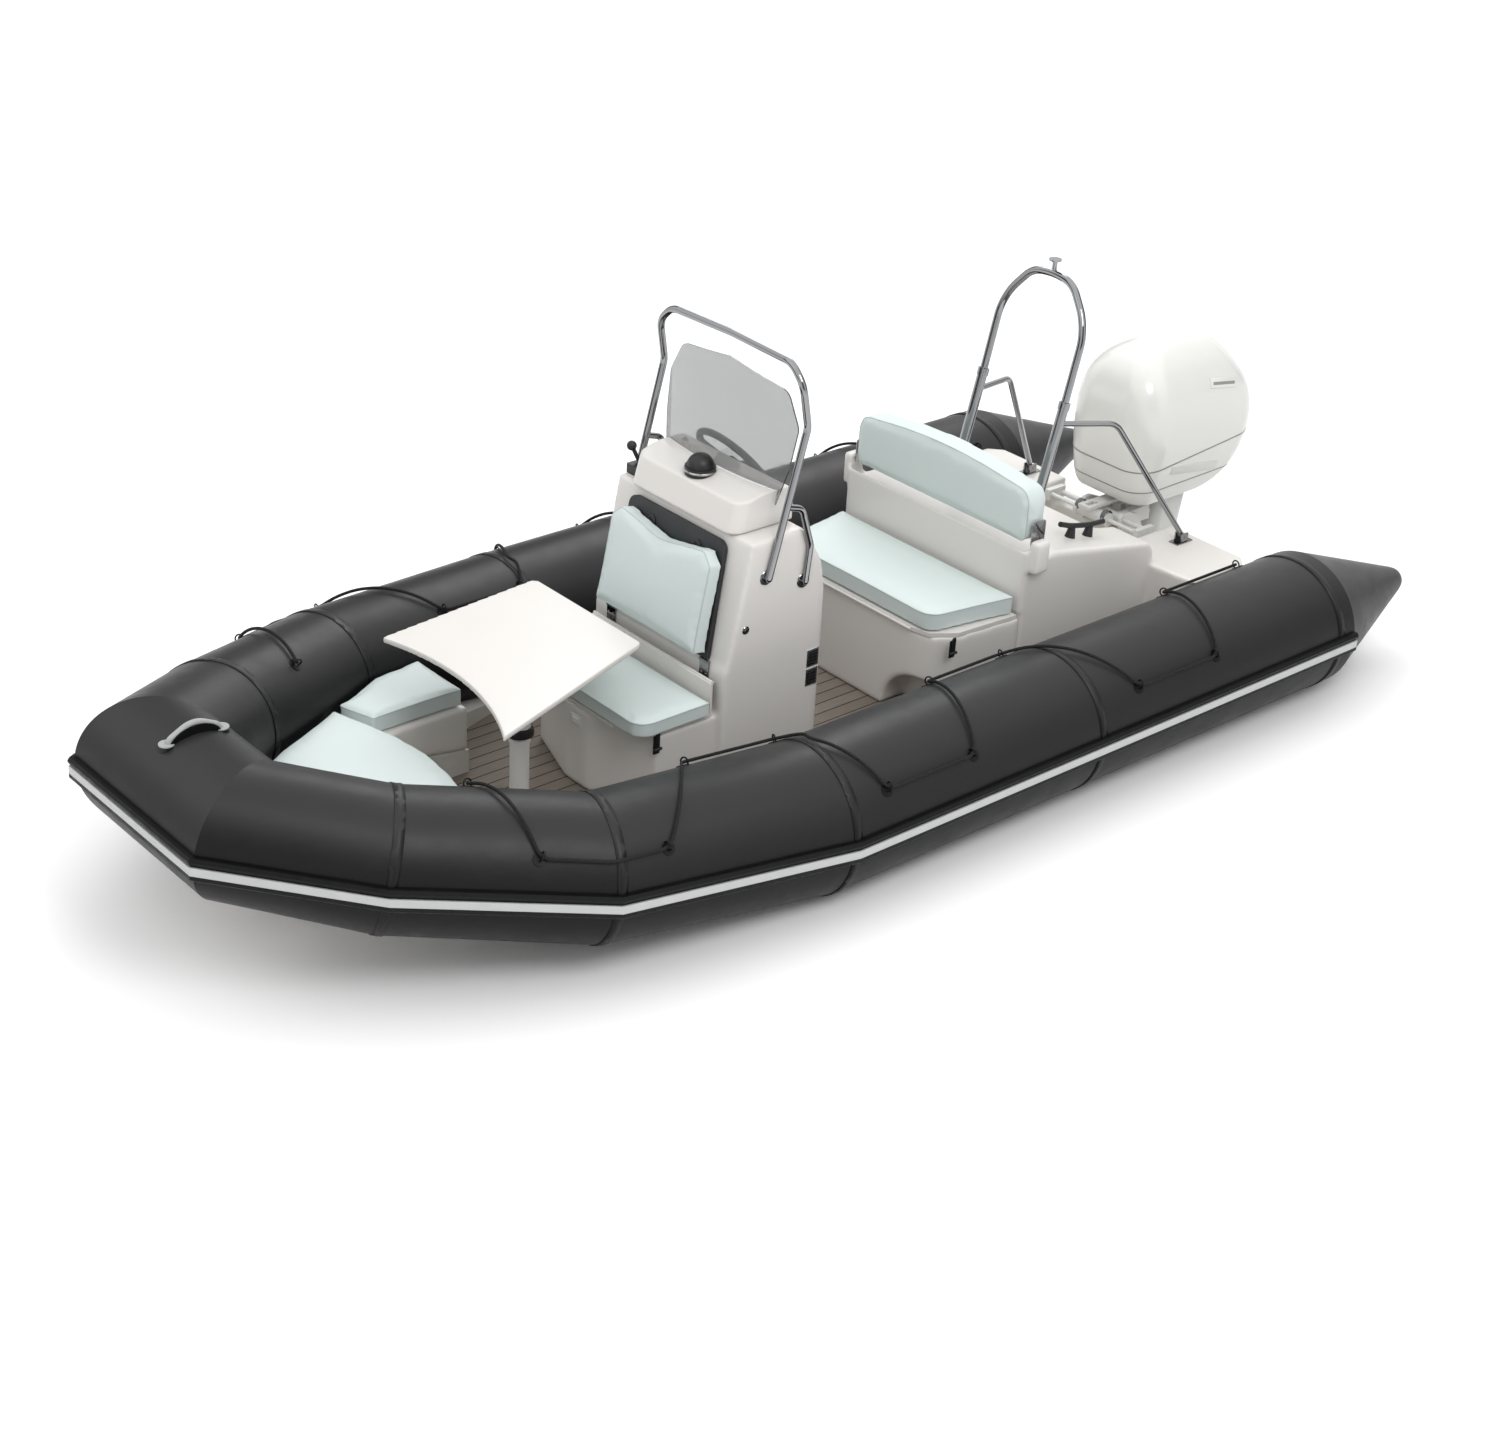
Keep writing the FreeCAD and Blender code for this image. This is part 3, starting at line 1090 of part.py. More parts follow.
def lifeline_route(side):
    """The lifeline's points, and which of them lie at the rings."""
    angles = {0: S.rope_low_deg, 1: S.rope_high_deg}
    points = [on_tube(side, LIFELINE[0][0], angles[LIFELINE[0][1]], S.rope_lift)]
    stops = [0]
    for (x0, inner0), (x1, inner1) in zip(LIFELINE, LIFELINE[1:]):
        crossing = inner0 != inner1
        steps = 6 if crossing else max(2, round(abs(x1 - x0) / 190))
        knees = [(knee - x0) / (x1 - x0) for knee in (S.knee2_x, S.knee3_x) if x1 < knee < x0]
        for share in sorted([i / steps for i in range(1, steps + 1)] + knees):
            angle = angles[inner0] + (angles[inner1] - angles[inner0]) * share
            slack = 4 if share in knees else 0
            if crossing:
                slack += 5 * math.sin(math.pi * share)
            points.append(on_tube(side, x0 + (x1 - x0) * share, angle, S.rope_lift + slack))
        stops.append(len(points) - 1)
    return points, stops


def make_lifelines():
    ropes = []
    rings = []
    for side in (1, -1):
        points, stops = lifeline_route(side)
        ropes.append(pipe(points, S.rope_radius))
        for stop, (x, inner) in zip(stops, LIFELINE):
            before, after = points[max(stop - 1, 0)], points[min(stop + 1, len(points) - 1)]
            eye = points[stop]
            if 0 < stop < len(points) - 1:
                eye = corner(before, eye, after)[1]
            centre, radius, out, up = tube_frame(side, x)
            seat = on_tube(side, x, S.rope_high_deg if inner else S.rope_low_deg, 0)
            normal = (seat - centre).normalize()
            patch = rod(seat - normal * 6, seat + normal * 2.5, 24)
            rings.append(Part.makeTorus(S.ring_radius, S.ring_wire, eye, after - before).fuse(patch))
    solid("lifelines", Part.makeCompound(ropes))
    moulding = node("stern_moulding")
    solid("lifeline_rings", Part.makeCompound([minus(each, ALL_TUBES, moulding) for each in rings]))


# ---------------------------------------------------------------- outboard

def make_clamp():
    low = S.trim_low_z - 40
    tip = Vector(S.tilt_x, 0, S.tilt_z)
    plates = []
    for side in (-1, 1):
        near, far = side * S.clamp_in, side * (S.clamp_in + S.clamp_thick)
        y0, y1 = min(near, far), max(near, far)
        cheek = slab([Vector(x, y0, z) for x, z in (
            (S.transom_x, low), (S.trim_low_x - 30, low), (S.trim_low_x - 42, S.trim_low_z + 60),
            (S.trim_low_x - 34, S.transom_top + 5), (S.transom_x - 14, S.tilt_z + 10),
            (S.tilt_x - 24, S.tilt_z + 34), (S.tilt_x + 12, S.tilt_z + 31), (S.tilt_x + 28, S.tilt_z + 14),
            (S.tilt_x + 29, S.tilt_z - 6), (S.tilt_x + 20, S.tilt_z - 26), (S.tilt_x + 14, S.tilt_z - 40),
            (S.tilt_x + 14, S.transom_top), (S.transom_x, S.transom_top))], Vector(0, y1 - y0, 0))
        outer0, outer1 = side * S.clamp_in, side * (S.clamp_in + S.clamp_thick + 45)
        flange = block(S.transom_x - 13, S.transom_x, min(outer0, outer1), max(outer0, outer1), low,
                       S.transom_top - 20)
        plates.append(cheek.fuse(flange))
    bore = rod(Vector(S.tilt_x, -200, S.tilt_z), Vector(S.tilt_x, 200, S.tilt_z), S.tilt_pin + S.pin_gap)
    foot = rod(Vector(S.trim_low_x, -S.clamp_in - 4, S.trim_low_z),
               Vector(S.trim_low_x, S.clamp_in + 4, S.trim_low_z),
               S.trim_pin)
    whole = plates[0].fuse([plates[1], foot]).cut(bore)
    solid("clamp_bracket", minus(whole, node("stern_moulding"), HULL))


def make_swivel():
    inner = S.clamp_in - 3
    tube = rod(Vector(S.tilt_x, -inner, S.tilt_z), Vector(S.tilt_x, inner, S.tilt_z), S.tilt_tube)
    post = rod(Vector(S.steer_x, 0, S.swivel_low), Vector(S.steer_x, 0, S.swivel_high), S.swivel_radius)
    arms = [block(S.steer_x, S.tilt_x, y - 14, y + 14, S.tilt_z - 34, S.tilt_z + 16) for y in (-74, 74)]
    web = block(S.steer_x - 10, S.steer_x + 62, -86, 86, S.swivel_high - 45, S.swivel_high)
    lug = block(S.steer_x + 20, S.trim_high_x + 14, -34, 34, S.trim_high_z - 18, S.trim_high_z + 18)
    slot = block(S.steer_x + S.swivel_radius, S.trim_high_x + 60, -17, 17, S.trim_high_z - 60,
                 S.trim_high_z + 60)
    heads = [rod(Vector(S.trim_high_x, y, S.trim_high_z), Vector(S.trim_high_x, y + 6, S.trim_high_z),
                 S.trim_pin + 5) for y in (-40, 34)]
    end = S.ram_span / 2
    shaft = rod(Vector(S.tilt_x, -end - 12, S.tilt_z), Vector(S.tilt_x, end + 12, S.tilt_z), S.tilt_pin)
    cheeks = [block(S.tilt_x - 16, S.ram_x + 18, y - 12, y + 12, S.tilt_z - 18,
                    S.ram_z + 20) for y in (-end, end)]
    guide = rod(Vector(S.ram_x, -end, S.ram_z), Vector(S.ram_x, end, S.ram_z), S.ram_rod)
    whole = tube.fuse([post, web, lug] + arms).cut(slot).fuse([shaft, guide] + heads + cheeks)
    bore = rod(Vector(S.steer_x, 0, 0), Vector(S.steer_x, 0, 600), S.steer_pin + S.pin_gap)
    solid("swivel_bracket", whole.cut(bore))


def make_steering_cylinder():
    """Barrel that slides on its rod, with a pin up through the tiller's slot."""
    half = S.ram_length / 2
    barrel = rod(Vector(S.ram_x, -half, S.ram_z), Vector(S.ram_x, half, S.ram_z), S.ram_radius)
    caps = [rod(Vector(S.ram_x, y, S.ram_z), Vector(S.ram_x, y + 18, S.ram_z), S.ram_radius + 4)
            for y in (-half, half - 18)]
    pin = rod(Vector(S.ram_x, 0, S.ram_z + 20), Vector(S.ram_x, 0, S.tiller_z + S.tiller_thick + 5),
              S.tiller_pin)
    bore = rod(Vector(S.ram_x, -400, S.ram_z), Vector(S.ram_x, 400, S.ram_z), S.ram_rod + S.pin_gap)
    solid("steering_cylinder", barrel.fuse(caps + [pin]).cut(bore))


def cowl_levels(inset):
    """Rounded rectangles up the cowl: height, aft, front, half width, corner."""
    f, a, w = S.cowl_front_x, S.cowl_aft_x, S.cowl_half
    low, top = S.cowl_low, S.cowl_top
    rows = [(low + inset, a + 255, f - 55, w - 50, 80), (low + 78, a + 75, f - 15, w - 24, 110),
            (low + 252, a, f, w, 130), (top - 206, a + 36, f, w - 13, 130),
            (top - 126, a + 92, f - 18, w - 42, 120),
            (top - 56, a + 150, f - 68, w - 96, 100), (top - inset, a + 250, f - 260, w - 180, 50)]
    return [(z, x0 + inset, x1 - inset, half - inset, corner - inset) for z, x0, x1, half, corner in rows]


def make_engine():
    outer = plan_loft(cowl_levels(0))
    inner = plan_loft(cowl_levels(S.cowl_wall))
    solid("engine_cowl", outer.cut(inner))
    solid("powerhead", block(S.steer_x - 195, S.steer_x + 110, -150, 150, S.cowl_low + S.cowl_wall,
                             S.cowl_low + 420))
    front = S.leg_front_x
    head = plan_loft([(S.tiller_z + 2, front - 235, front + 100, 130, 60),
                      (S.cowl_low - S.seat_gap, front - 195, front + 190, 165, 70)])
    mid = plan_loft([(0.0, front - 175, front, S.leg_half - 14, 40),
                     (250.0, front - 195, front, S.leg_half, 50),
                     (S.tiller_z + 3, front - 210, front, S.leg_half + 20, 50)])
    low = plan_loft([(S.plate_z, front - 170, front + 60, 24, 20), (-120.0, front - 170, front + 55, 34, 28),
                     (1.0, front - 175, front + 10, S.leg_half - 16, 38)])
    plate = block(front - 300, front + 75, -112, 112, S.plate_z - 8, S.plate_z)
    plate = plate.makeFillet(60, [edge for edge in plate.Edges if along(Z)(edge)])
    strut = plan_loft([(S.shaft_z - 10, front - 155, front + 90, 22, 18),
                       (S.plate_z, front - 160, front + 65, 22, 18)])
    tip = Vector(front + 75, 0, S.shaft_z)
    nose = Part.makeSphere(S.gear_radius, tip)
    case = rod(tip, Vector(S.gear_aft_x, 0, S.shaft_z), S.gear_radius)
    fin = [(40, S.shaft_z), (-35, S.skeg_z + 10), (-75, S.skeg_z), (-112, S.skeg_z + 12), (-150, S.shaft_z)]
    skeg = slab([Vector(front + ahead, -6, z) for ahead, z in fin], Vector(0, 12, 0))
    shaft = rod(Vector(S.gear_aft_x + 20, 0, S.shaft_z),
                Vector(S.gear_aft_x - S.hub_length - 18, 0, S.shaft_z), 11)
    pin = rod(Vector(S.steer_x, 0, S.swivel_low - 46), Vector(S.steer_x, 0, S.tiller_z + 4), S.steer_pin)
    lower_yoke = block(front - 20, S.steer_x + 34, -40, 40, S.swivel_low - 48, S.swivel_low - 4)
    arm = S.ram_x - S.steer_x
    tiller = block(front - 40, S.steer_x + arm * 1.26, -32, 32, S.tiller_z, S.tiller_z + S.tiller_thick)
    slot = block(S.steer_x + arm - 11, S.steer_x + arm * 1.19, -S.tiller_slot_half, S.tiller_slot_half,
                 S.tiller_z - 1, S.tiller_z + S.tiller_thick + 1)
    tiller = tiller.cut(slot)
    whole = mid.fuse([low, head, plate, strut, nose, case, skeg, shaft, pin, lower_yoke, tiller])
    solid("engine_leg", whole)


def make_propeller():
    x0 = S.gear_aft_x - 4
    hub = rod(Vector(x0, 0, S.shaft_z), Vector(x0 - S.hub_length, 0, S.shaft_z), S.hub_radius)
    nose = Part.makeCone(30, 12, 24, Vector(x0 - S.hub_length, 0, S.shaft_z), X * -1)
    blades = []
    for turn in (0, 120, 240):
        wires = []
        for reach, chord, twist in ((S.hub_radius - 10, 92, 58), (S.prop_radius * 0.62, 128, 36),
                                    (S.prop_radius * 0.97, 62, 24)):
            wires.append((reach, chord, twist))
        sections = []
        for reach, chord, twist in wires:
            half, thin = chord / 2, 4.5 if reach < 100 else 3
            lean = math.radians(twist)
            corners = [(-half, -thin / 2), (half, -thin / 2), (half, thin / 2), (-half, thin / 2)]
            sections.append(polygon([Vector(x0 - S.hub_length / 2 + a * math.sin(lean) + b * math.cos(lean),
                                            a * math.cos(lean) - b * math.sin(lean), reach) for a,
                                            b in corners]))
        blade = outward(Part.makeLoft(sections, True, True))
        blade.rotate(Vector(0, 0, 0), X, turn)
        blade.translate(Vector(0, 0, S.shaft_z))
        blades.append(blade)
    whole = hub.fuse([nose] + blades)
    bore = rod(Vector(x0 + 5, 0, S.shaft_z), Vector(x0 - S.hub_length - 30, 0, S.shaft_z), 11 + S.pin_gap)
    solid("propeller", whole.cut(bore))


def make_trim_cylinder():
    low, high = Vector(S.trim_low_x, 0, S.trim_low_z), Vector(S.trim_high_x, 0, S.trim_high_z)
    way = (high - low).normalize()
    barrel = rod(low + way * 14, high - way * 52, S.trim_barrel)
    eye = rod(low - Y * 18, low + Y * 18, 17)
    hole = rod(low - Y * 40, low + Y * 40, S.trim_pin + S.pin_gap)
    inner = rod(low + way * 30, high, S.trim_rod + S.pin_gap)
    solid("trim_barrel", barrel.fuse(eye).cut(hole).cut(inner))
    ram = rod(low + way * 34, high - way * 6, S.trim_rod)
    eye = rod(high - Y * 14, high + Y * 14, 14)
    ends = rod(high - Y * (17 - S.seat_gap), high + Y * (17 - S.seat_gap), S.trim_pin)
    solid("trim_rod", ram.fuse([eye, ends]))


# ---------------------------------------------------------------- building and export

make_hull()
make_tubes()
make_strake()
make_bow_fittings()
make_bow_seat()
make_console()
make_dash_pod()
make_windscreen()
make_console_rails()
make_compass()
make_helm()
make_front_seat()
make_hinges()
make_bench()
make_moulding()
make_backrest()
make_cleats()
make_arch()
make_table()
make_lifelines()
make_clamp()
make_swivel()
make_steering_cylinder()
make_engine()
make_propeller()
make_trim_cylinder()

DOC.recompute()
for thing in DOC.Objects:
    if {"Invalid", "Error"} & set(thing.State):
        raise ValueError(f"{thing.Label} did not rebuild")
os.makedirs("parts", exist_ok=True)
unsound = []
for each in NODES:
    shape = each.Shape
    if shape.isNull() or not shape.isValid() or not shape.Solids:
        unsound.append(each.Label)
        continue
    shape.exportStep(f"parts/{each.Label}.step")
    box = shape.optimalBoundingBox(False)
    print(f"{each.Label:20s} solids {len(shape.Solids)}  volume {shape.Volume / 1e6:9.3f} dm3  "
          f"x {box.XMin:.0f}..{box.XMax:.0f}  y {box.YMin:.0f}..{box.YMax:.0f}  z {box.ZMin:.0f}..{box.ZMax:.0f}")
if unsound:
    raise ValueError("no sound solid: " + ", ".join(unsound))
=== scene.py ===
"""Looks of the inflatable rib boat: materials, soft goods, trim, stage, lights and camera.

Metres, +X forward, +Y port, +Z up, origin at the waterline.
"""

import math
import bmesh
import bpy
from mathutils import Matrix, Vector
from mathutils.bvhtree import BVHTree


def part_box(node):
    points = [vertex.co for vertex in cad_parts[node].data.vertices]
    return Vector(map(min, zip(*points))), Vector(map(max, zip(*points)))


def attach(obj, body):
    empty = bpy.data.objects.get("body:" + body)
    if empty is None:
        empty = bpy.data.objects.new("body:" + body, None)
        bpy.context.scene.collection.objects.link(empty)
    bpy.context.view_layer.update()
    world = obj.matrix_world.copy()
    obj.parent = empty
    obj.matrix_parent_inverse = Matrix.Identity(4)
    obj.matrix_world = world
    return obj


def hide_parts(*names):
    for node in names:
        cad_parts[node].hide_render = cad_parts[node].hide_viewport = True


bl_info = {
    "name": "Rib boat looks",
    "version": (1, 0, 0),
    "blender": (4, 5, 0),
    "location": "View3D > Sidebar > Rib boat",
    "description": "Materials, cushions, trim, stage and camera for the inflatable rib boat",
    "category": "Object",
}

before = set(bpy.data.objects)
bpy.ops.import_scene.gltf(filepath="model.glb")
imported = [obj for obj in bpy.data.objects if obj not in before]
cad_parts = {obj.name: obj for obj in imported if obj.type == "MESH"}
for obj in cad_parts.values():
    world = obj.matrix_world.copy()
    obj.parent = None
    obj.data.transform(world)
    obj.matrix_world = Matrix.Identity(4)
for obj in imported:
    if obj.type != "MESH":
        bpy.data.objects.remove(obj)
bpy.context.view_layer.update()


# ---------------------------------------------------------------- materials

def colour(text):
    """sRGB hex to the linear colour that sockets take."""
    parts = [int(text[i:i + 2], 16) / 255 for i in (0, 2, 4)]
    return [c / 12.92 if c <= 0.04045 else ((c + 0.055) / 1.055) ** 2.4 for c in parts] + [1.0]


def node(material, kind, settings=None, **sockets):
    """Adds a shader node; a socket given as a keyword is linked or set."""
    made = material.node_tree.nodes.new(kind)
    for key, value in (settings or {}).items():
        setattr(made, key, value)
    for key, value in sockets.items():
        name = key.replace("_", " ")
        target = made.inputs[int(key[1:])] if key[0] == "i" and key[1:].isdigit() else made.inputs[name]
        if isinstance(value, bpy.types.NodeSocket):
            material.node_tree.links.new(value, target)
        else:
            target.default_value = value
    return made


def material(name, **values):
    """A named material with one Principled shader; keywords are its sockets."""
    made = bpy.data.materials.new(name)
    made.use_nodes = True
    shader = made.node_tree.nodes["Principled BSDF"]
    for key, value in values.items():
        shader.inputs[key.replace("_", " ")].default_value = value
    return made, shader


def place(made, scale=(1, 1, 1)):
    """Object coordinates, in metres, times a scale."""
    coords = node(made, "ShaderNodeTexCoord").outputs["Object"]
    return node(made, "ShaderNodeMapping", Vector=coords, Scale=scale).outputs["Vector"]


def noise(made, vector, scale, detail=4.0, rough=0.5):
    return node(made, "ShaderNodeTexNoise", Vector=vector, Scale=scale, Detail=detail,
                Roughness=rough).outputs["Fac"]


def spread(made, value, low, high, start=0.3, end=0.7):
    """Maps a 0 to 1 value to a range."""
    return node(made, "ShaderNodeMapRange", {"clamp": True}, Value=value, From_Min=start, From_Max=end,
                To_Min=low, To_Max=high).outputs["Result"]


def tint(made, factor, first, second):
    """Mixes two sRGB colours."""
    mix = node(made, "ShaderNodeMix", {"data_type": "RGBA"}, i0=factor)
    for socket, value in ((6, first), (7, second)):
        if isinstance(value, bpy.types.NodeSocket):
            made.node_tree.links.new(value, mix.inputs[socket])
        else:
            mix.inputs[socket].default_value = colour(value)
    return mix.outputs[2]


def bump(made, shader, height, distance, strength=1.0, before=None):
    """Bumps the surface by a height field, distance in metres."""
    made_bump = node(made, "ShaderNodeBump", Height=height, Distance=distance, Strength=strength)
    if before is not None:
        made.node_tree.links.new(before, made_bump.inputs["Normal"])
    made.node_tree.links.new(made_bump.outputs["Normal"], shader.inputs["Normal"])
    return made_bump.outputs["Normal"]


def link(made, socket, shader, name):
    made.node_tree.links.new(socket, shader.inputs[name])


def gelcoat(name, first, second, rough):
    """Moulded glass-reinforced plastic with a gelcoat skin: glossy, faintly uneven."""
    made, shader = material(name, Coat_Weight=0.2, Coat_Roughness=0.2, IOR=1.45)
    where = place(made)
    link(made, tint(made, noise(made, where, 1.6, 2), first, second), shader, "Base Color")
    link(made, spread(made, noise(made, where, 5.0, 3), rough - 0.03, rough + 0.05), shader, "Roughness")
    bump(made, shader, noise(made, where, 3.0, 1), 0.0005, 0.1)
    return made


def coated_fabric():
    """Rubber-coated tube fabric: black, with a painted highlight along the crest (a grey base colour where
    the skin faces up), faint weave, soft undulation.
    """
    made, shader = material("tube_coated_fabric", Specular_IOR_Level=0.2)
    where = place(made)
    facing = node(made, "ShaderNodeSeparateXYZ", Vector=node(made, "ShaderNodeNewGeometry").outputs["Normal"])
    # Painted highlight: the base colour turns from black to grey as the skin faces up.
    painted_crest_highlight = spread(made, facing.outputs["Z"], 0.0, 1.0, 0.12, 0.75)
    cloudy = noise(made, where, 3.5, 6, 0.6)
    link(made, tint(made, painted_crest_highlight, tint(made, cloudy, "050505", "080809"),
                    tint(made, cloudy, "2b2b2c", "303031")),
         shader, "Base Color")
    link(made, spread(made, noise(made, where, 9.0, 7, 0.65), 0.34, 0.44), shader, "Roughness")
    soft = bump(made, shader, noise(made, where, 4.0, 2), 0.004, 0.12)
    weave = node(made, "ShaderNodeTexVoronoi", Vector=where, Scale=900.0).outputs["Distance"]
    bump(made, shader, weave, 0.0002, 0.25, soft)
    return made


def rubber(name, first, second, rough=0.55, gloss=0.4):
    """Moulded solid rubber: matt, finely pitted."""
    made, shader = material(name, Specular_IOR_Level=gloss)
    where = place(made)
    link(made, tint(made, noise(made, where, 18.0, 6), first, second), shader, "Base Color")
    link(made, spread(made, noise(made, where, 40.0, 4), rough - 0.08, rough + 0.12), shader, "Roughness")
    bump(made, shader, noise(made, where, 600.0, 3), 0.0003, 0.5)
    return made


def vinyl(name, first, second):
    """Marine upholstery vinyl: pale, with leather grain and soft wrinkles."""
    made, shader = material(name, Specular_IOR_Level=0.42)
    where = place(made)
    link(made, tint(made, noise(made, where, 5.0, 6, 0.6), first, second), shader, "Base Color")
    link(made, spread(made, noise(made, where, 26.0, 5), 0.44, 0.6), shader, "Roughness")
    soft = bump(made, shader, noise(made, where, 11.0, 2), 0.002, 0.3)
    grain = node(made, "ShaderNodeTexVoronoi", {"feature": "DISTANCE_TO_EDGE"}, Vector=where,
                 Scale=420.0).outputs["Distance"]
    bump(made, shader, spread(made, grain, 0, 1, 0.0, 0.35), 0.00035, 0.4, soft)
    return made


def decking():
    """Synthetic planked decking: grey-brown boards along the boat with dark caulk lines."""
    made, shader = material("deck_planks", Specular_IOR_Level=0.35)
    where = place(made)
    split = node(made, "ShaderNodeSeparateXYZ", Vector=where)
    board = node(made, "ShaderNodeMath", {"operation": "MULTIPLY"}, i0=split.outputs["Y"],
                 i1=1 / 0.062).outputs[0]
    part = node(made, "ShaderNodeMath", {"operation": "FRACT"}, i0=board).outputs[0]
    index = node(made, "ShaderNodeMath", {"operation": "FLOOR"}, i0=board).outputs[0]
    caulk = node(made, "ShaderNodeMath", {"operation": "LESS_THAN"}, i0=part, i1=0.085).outputs[0]
    shade = node(made, "ShaderNodeTexWhiteNoise", {"noise_dimensions": "1D"}, W=index).outputs["Value"]
    grain = noise(made, place(made, (3.0, 90.0, 90.0)), 4.0, 8, 0.6)
    wood = tint(made, spread(made, grain, 0, 1), "6f675e", "8a8177")
    wood = tint(made, node(made, "ShaderNodeMath", {"operation": "MULTIPLY"}, i0=shade, i1=0.35).outputs[0],
                wood, "5f574e")
    link(made, tint(made, caulk, wood, "24211e"), shader, "Base Color")
    link(made, spread(made, grain, 0.55, 0.72), shader, "Roughness")
    low = node(made, "ShaderNodeMath", {"operation": "SUBTRACT"}, i0=1.0, i1=caulk).outputs[0]
    first = bump(made, shader, low, 0.0012, 0.8)
    bump(made, shader, grain, 0.0006, 0.4, first)
    return made


def metal(name, base, low, high, scale=30.0):
    """Bare metal: colour, and roughness that varies with smudges."""
    made, shader = material(name, Metallic=1.0)
    where = place(made)
    shader.inputs["Base Color"].default_value = colour(base)
    link(made, spread(made, noise(made, where, scale, 6), low, high), shader, "Roughness")
    bump(made, shader, noise(made, where, 220.0, 2), 0.00008, 0.3)
    return made


def plastic(name, first, second, rough, pit=0.0003, coat=0.0):
    """Moulded plastic or paint with fine texture."""
    made, shader = material(name, Coat_Weight=coat, Coat_Roughness=0.06)
    where = place(made)
    link(made, tint(made, noise(made, where, 7.0, 2), first, second), shader, "Base Color")
    link(made, spread(made, noise(made, where, 12.0, 2), rough - 0.03, rough + 0.05), shader, "Roughness")
    bump(made, shader, noise(made, where, 500.0, 1), pit, 0.2)
    return made


def handle_rubber():
    """Grab handle of pale grey rubber on a black rubber pad, split by height."""
    made, shader = material("handle_rubber", Specular_IOR_Level=0.4, Roughness=0.5)
    where = place(made)
    height = node(made, "ShaderNodeSeparateXYZ", Vector=where).outputs["Z"]
    part = node(made, "ShaderNodeMath", {"operation": "GREATER_THAN"}, i0=height, i1=HANDLE_SPLIT).outputs[0]
    grip = tint(made, noise(made, where, 18.0, 4), "9b9c9c", "a7a8a8")
    link(made, tint(made, part, "0d0d0e", grip), shader, "Base Color")
    bump(made, shader, noise(made, where, 600.0, 3), 0.0003, 0.4)
    return made


def smoked_sheet():
    """Smoked acrylic sheet: grey, clear, glossy."""
    made, shader = material("smoked_acrylic", Transmission_Weight=0.92, IOR=1.49, Roughness=0.03)
    where = place(made)
    link(made, tint(made, noise(made, where, 3.0, 3), "a2a3a3", "aaabab"), shader, "Base Color")
    link(made, spread(made, noise(made, where, 30.0, 6), 0.02, 0.07), shader, "Roughness")
    return made


def braid():
    """Black braided rope."""
    made, shader = material("braided_rope", Roughness=0.75, Specular_IOR_Level=0.2)
    where = place(made)
    weave = node(made, "ShaderNodeTexVoronoi", Vector=where, Scale=260.0).outputs["Distance"]
    link(made, tint(made, weave, "2a2a2b", "0f0f10"), shader, "Base Color")
    bump(made, shader, weave, 0.0012, 0.8)
    return made


# Height where the handle's black web ends and its grey grip starts.
HANDLE_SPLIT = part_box("bow_handle")[0][2] + 0.02
# Lean of the front seat's back panel, and how far its two knobs sit to each side.
PANEL_LEAN = math.radians(10.5)
KNOB_SPREAD = (-0.13, 0.13)
# Gauges on the dash: place across, rise over the row, radius of the bezel.
GAUGES = ((-0.25, 0.0, 0.043), (-0.14, 0.012, 0.036), (-0.045, 0.0, 0.036), (0.05, 0.0, 0.036))
SWITCH_PITCH = 0.034
# The two faces of a solid pad cover its outline nearly twice; a ring, open in its middle, covers less.
PAD_COVER = 1.9
# Heights of the console's two side vents, and X and Z of the rails' feet.
VENT_HEIGHTS = (0.45, 0.53)
RAIL_FEET = ((0.404, 0.928), (0.222, 0.868))

# The finishes, from the shell to the fittings, each named by what it covers or is made of.
MATERIALS = {
    # Handle: black web below, grey grip above.
    "handle": handle_rubber(),
    # Off-white gelcoat, glossier on the hull than on the mouldings with their fine grain.
    "hull": gelcoat("hull_gelcoat", "d2d0cc", "d6d4d1", 0.24),
    "gelcoat": gelcoat("moulding_gelcoat", "d9d6d2", "dad7d3", 0.34),
    # Tubes: black fabric with a painted highlight on its crest, deeper black rubber patches and strake, light
    # grey stripe.
    "tube": coated_fabric(),
    "patch": rubber("tube_patch", "050505", "090909", 0.42, 0.25),
    "strake": rubber("strake_rubber", "050505", "090909", 0.45, 0.22),
    "stripe": rubber("stripe_rubber", "b4b5b5", "bebfbf", 0.5),
    # Cushions: pale blue-grey vinyl, darker sides, piping between the two.
    "vinyl": vinyl("vinyl_top", "cdd8d6", "d2dddb"),
    "vinyl_side": vinyl("vinyl_side", "a0aba9", "a9b4b2"),
    "piping": vinyl("vinyl_piping", "b4c0be", "bcc8c6"),
    "deck": decking(),
    # Metals: mirror rails and arch, satin fittings, duller alloy vents.
    "polished": metal("polished_stainless", "949597", 0.04, 0.1),
    "stainless": metal("stainless_steel", "b0b0b0", 0.18, 0.34),
    "alloy": metal("anodised_alloy", "c9cacc", 0.24, 0.38),
    # Plastics: black knobs and straps, grey wheel rim, dark panel.
    "dark": plastic("dark_plastic", "141415", "1c1c1d", 0.42),
    "grey": plastic("grey_grip", "5a5d5f", "66696b", 0.5),
    "charcoal": plastic("charcoal_panel", "232527", "2b2d2f", 0.48),
    "smoked": smoked_sheet(),
    "rope": braid(),
    # Engine: satin paint on leg and brackets, glossier cowl, rough dark castings, painted shadow in the seams
    # and the scoop's slot.
    "paint": plastic("engine_paint", "d3d3d0", "d6d6d3", 0.36, 0.00002, 0.15),
    "cowl": plastic("cowl_gloss", "dededa", "e2e2de", 0.2, 0.00002, 0.4),
    "casting": plastic("dark_casting", "1d1e20", "2a2b2d", 0.5),
    "joint": plastic("shadow_gap", "8b8b89", "959593", 0.6),
    "dial": plastic("dial_face", "e4e4e0", "eaeae6", 0.3, 0.00005, 0.3),
}

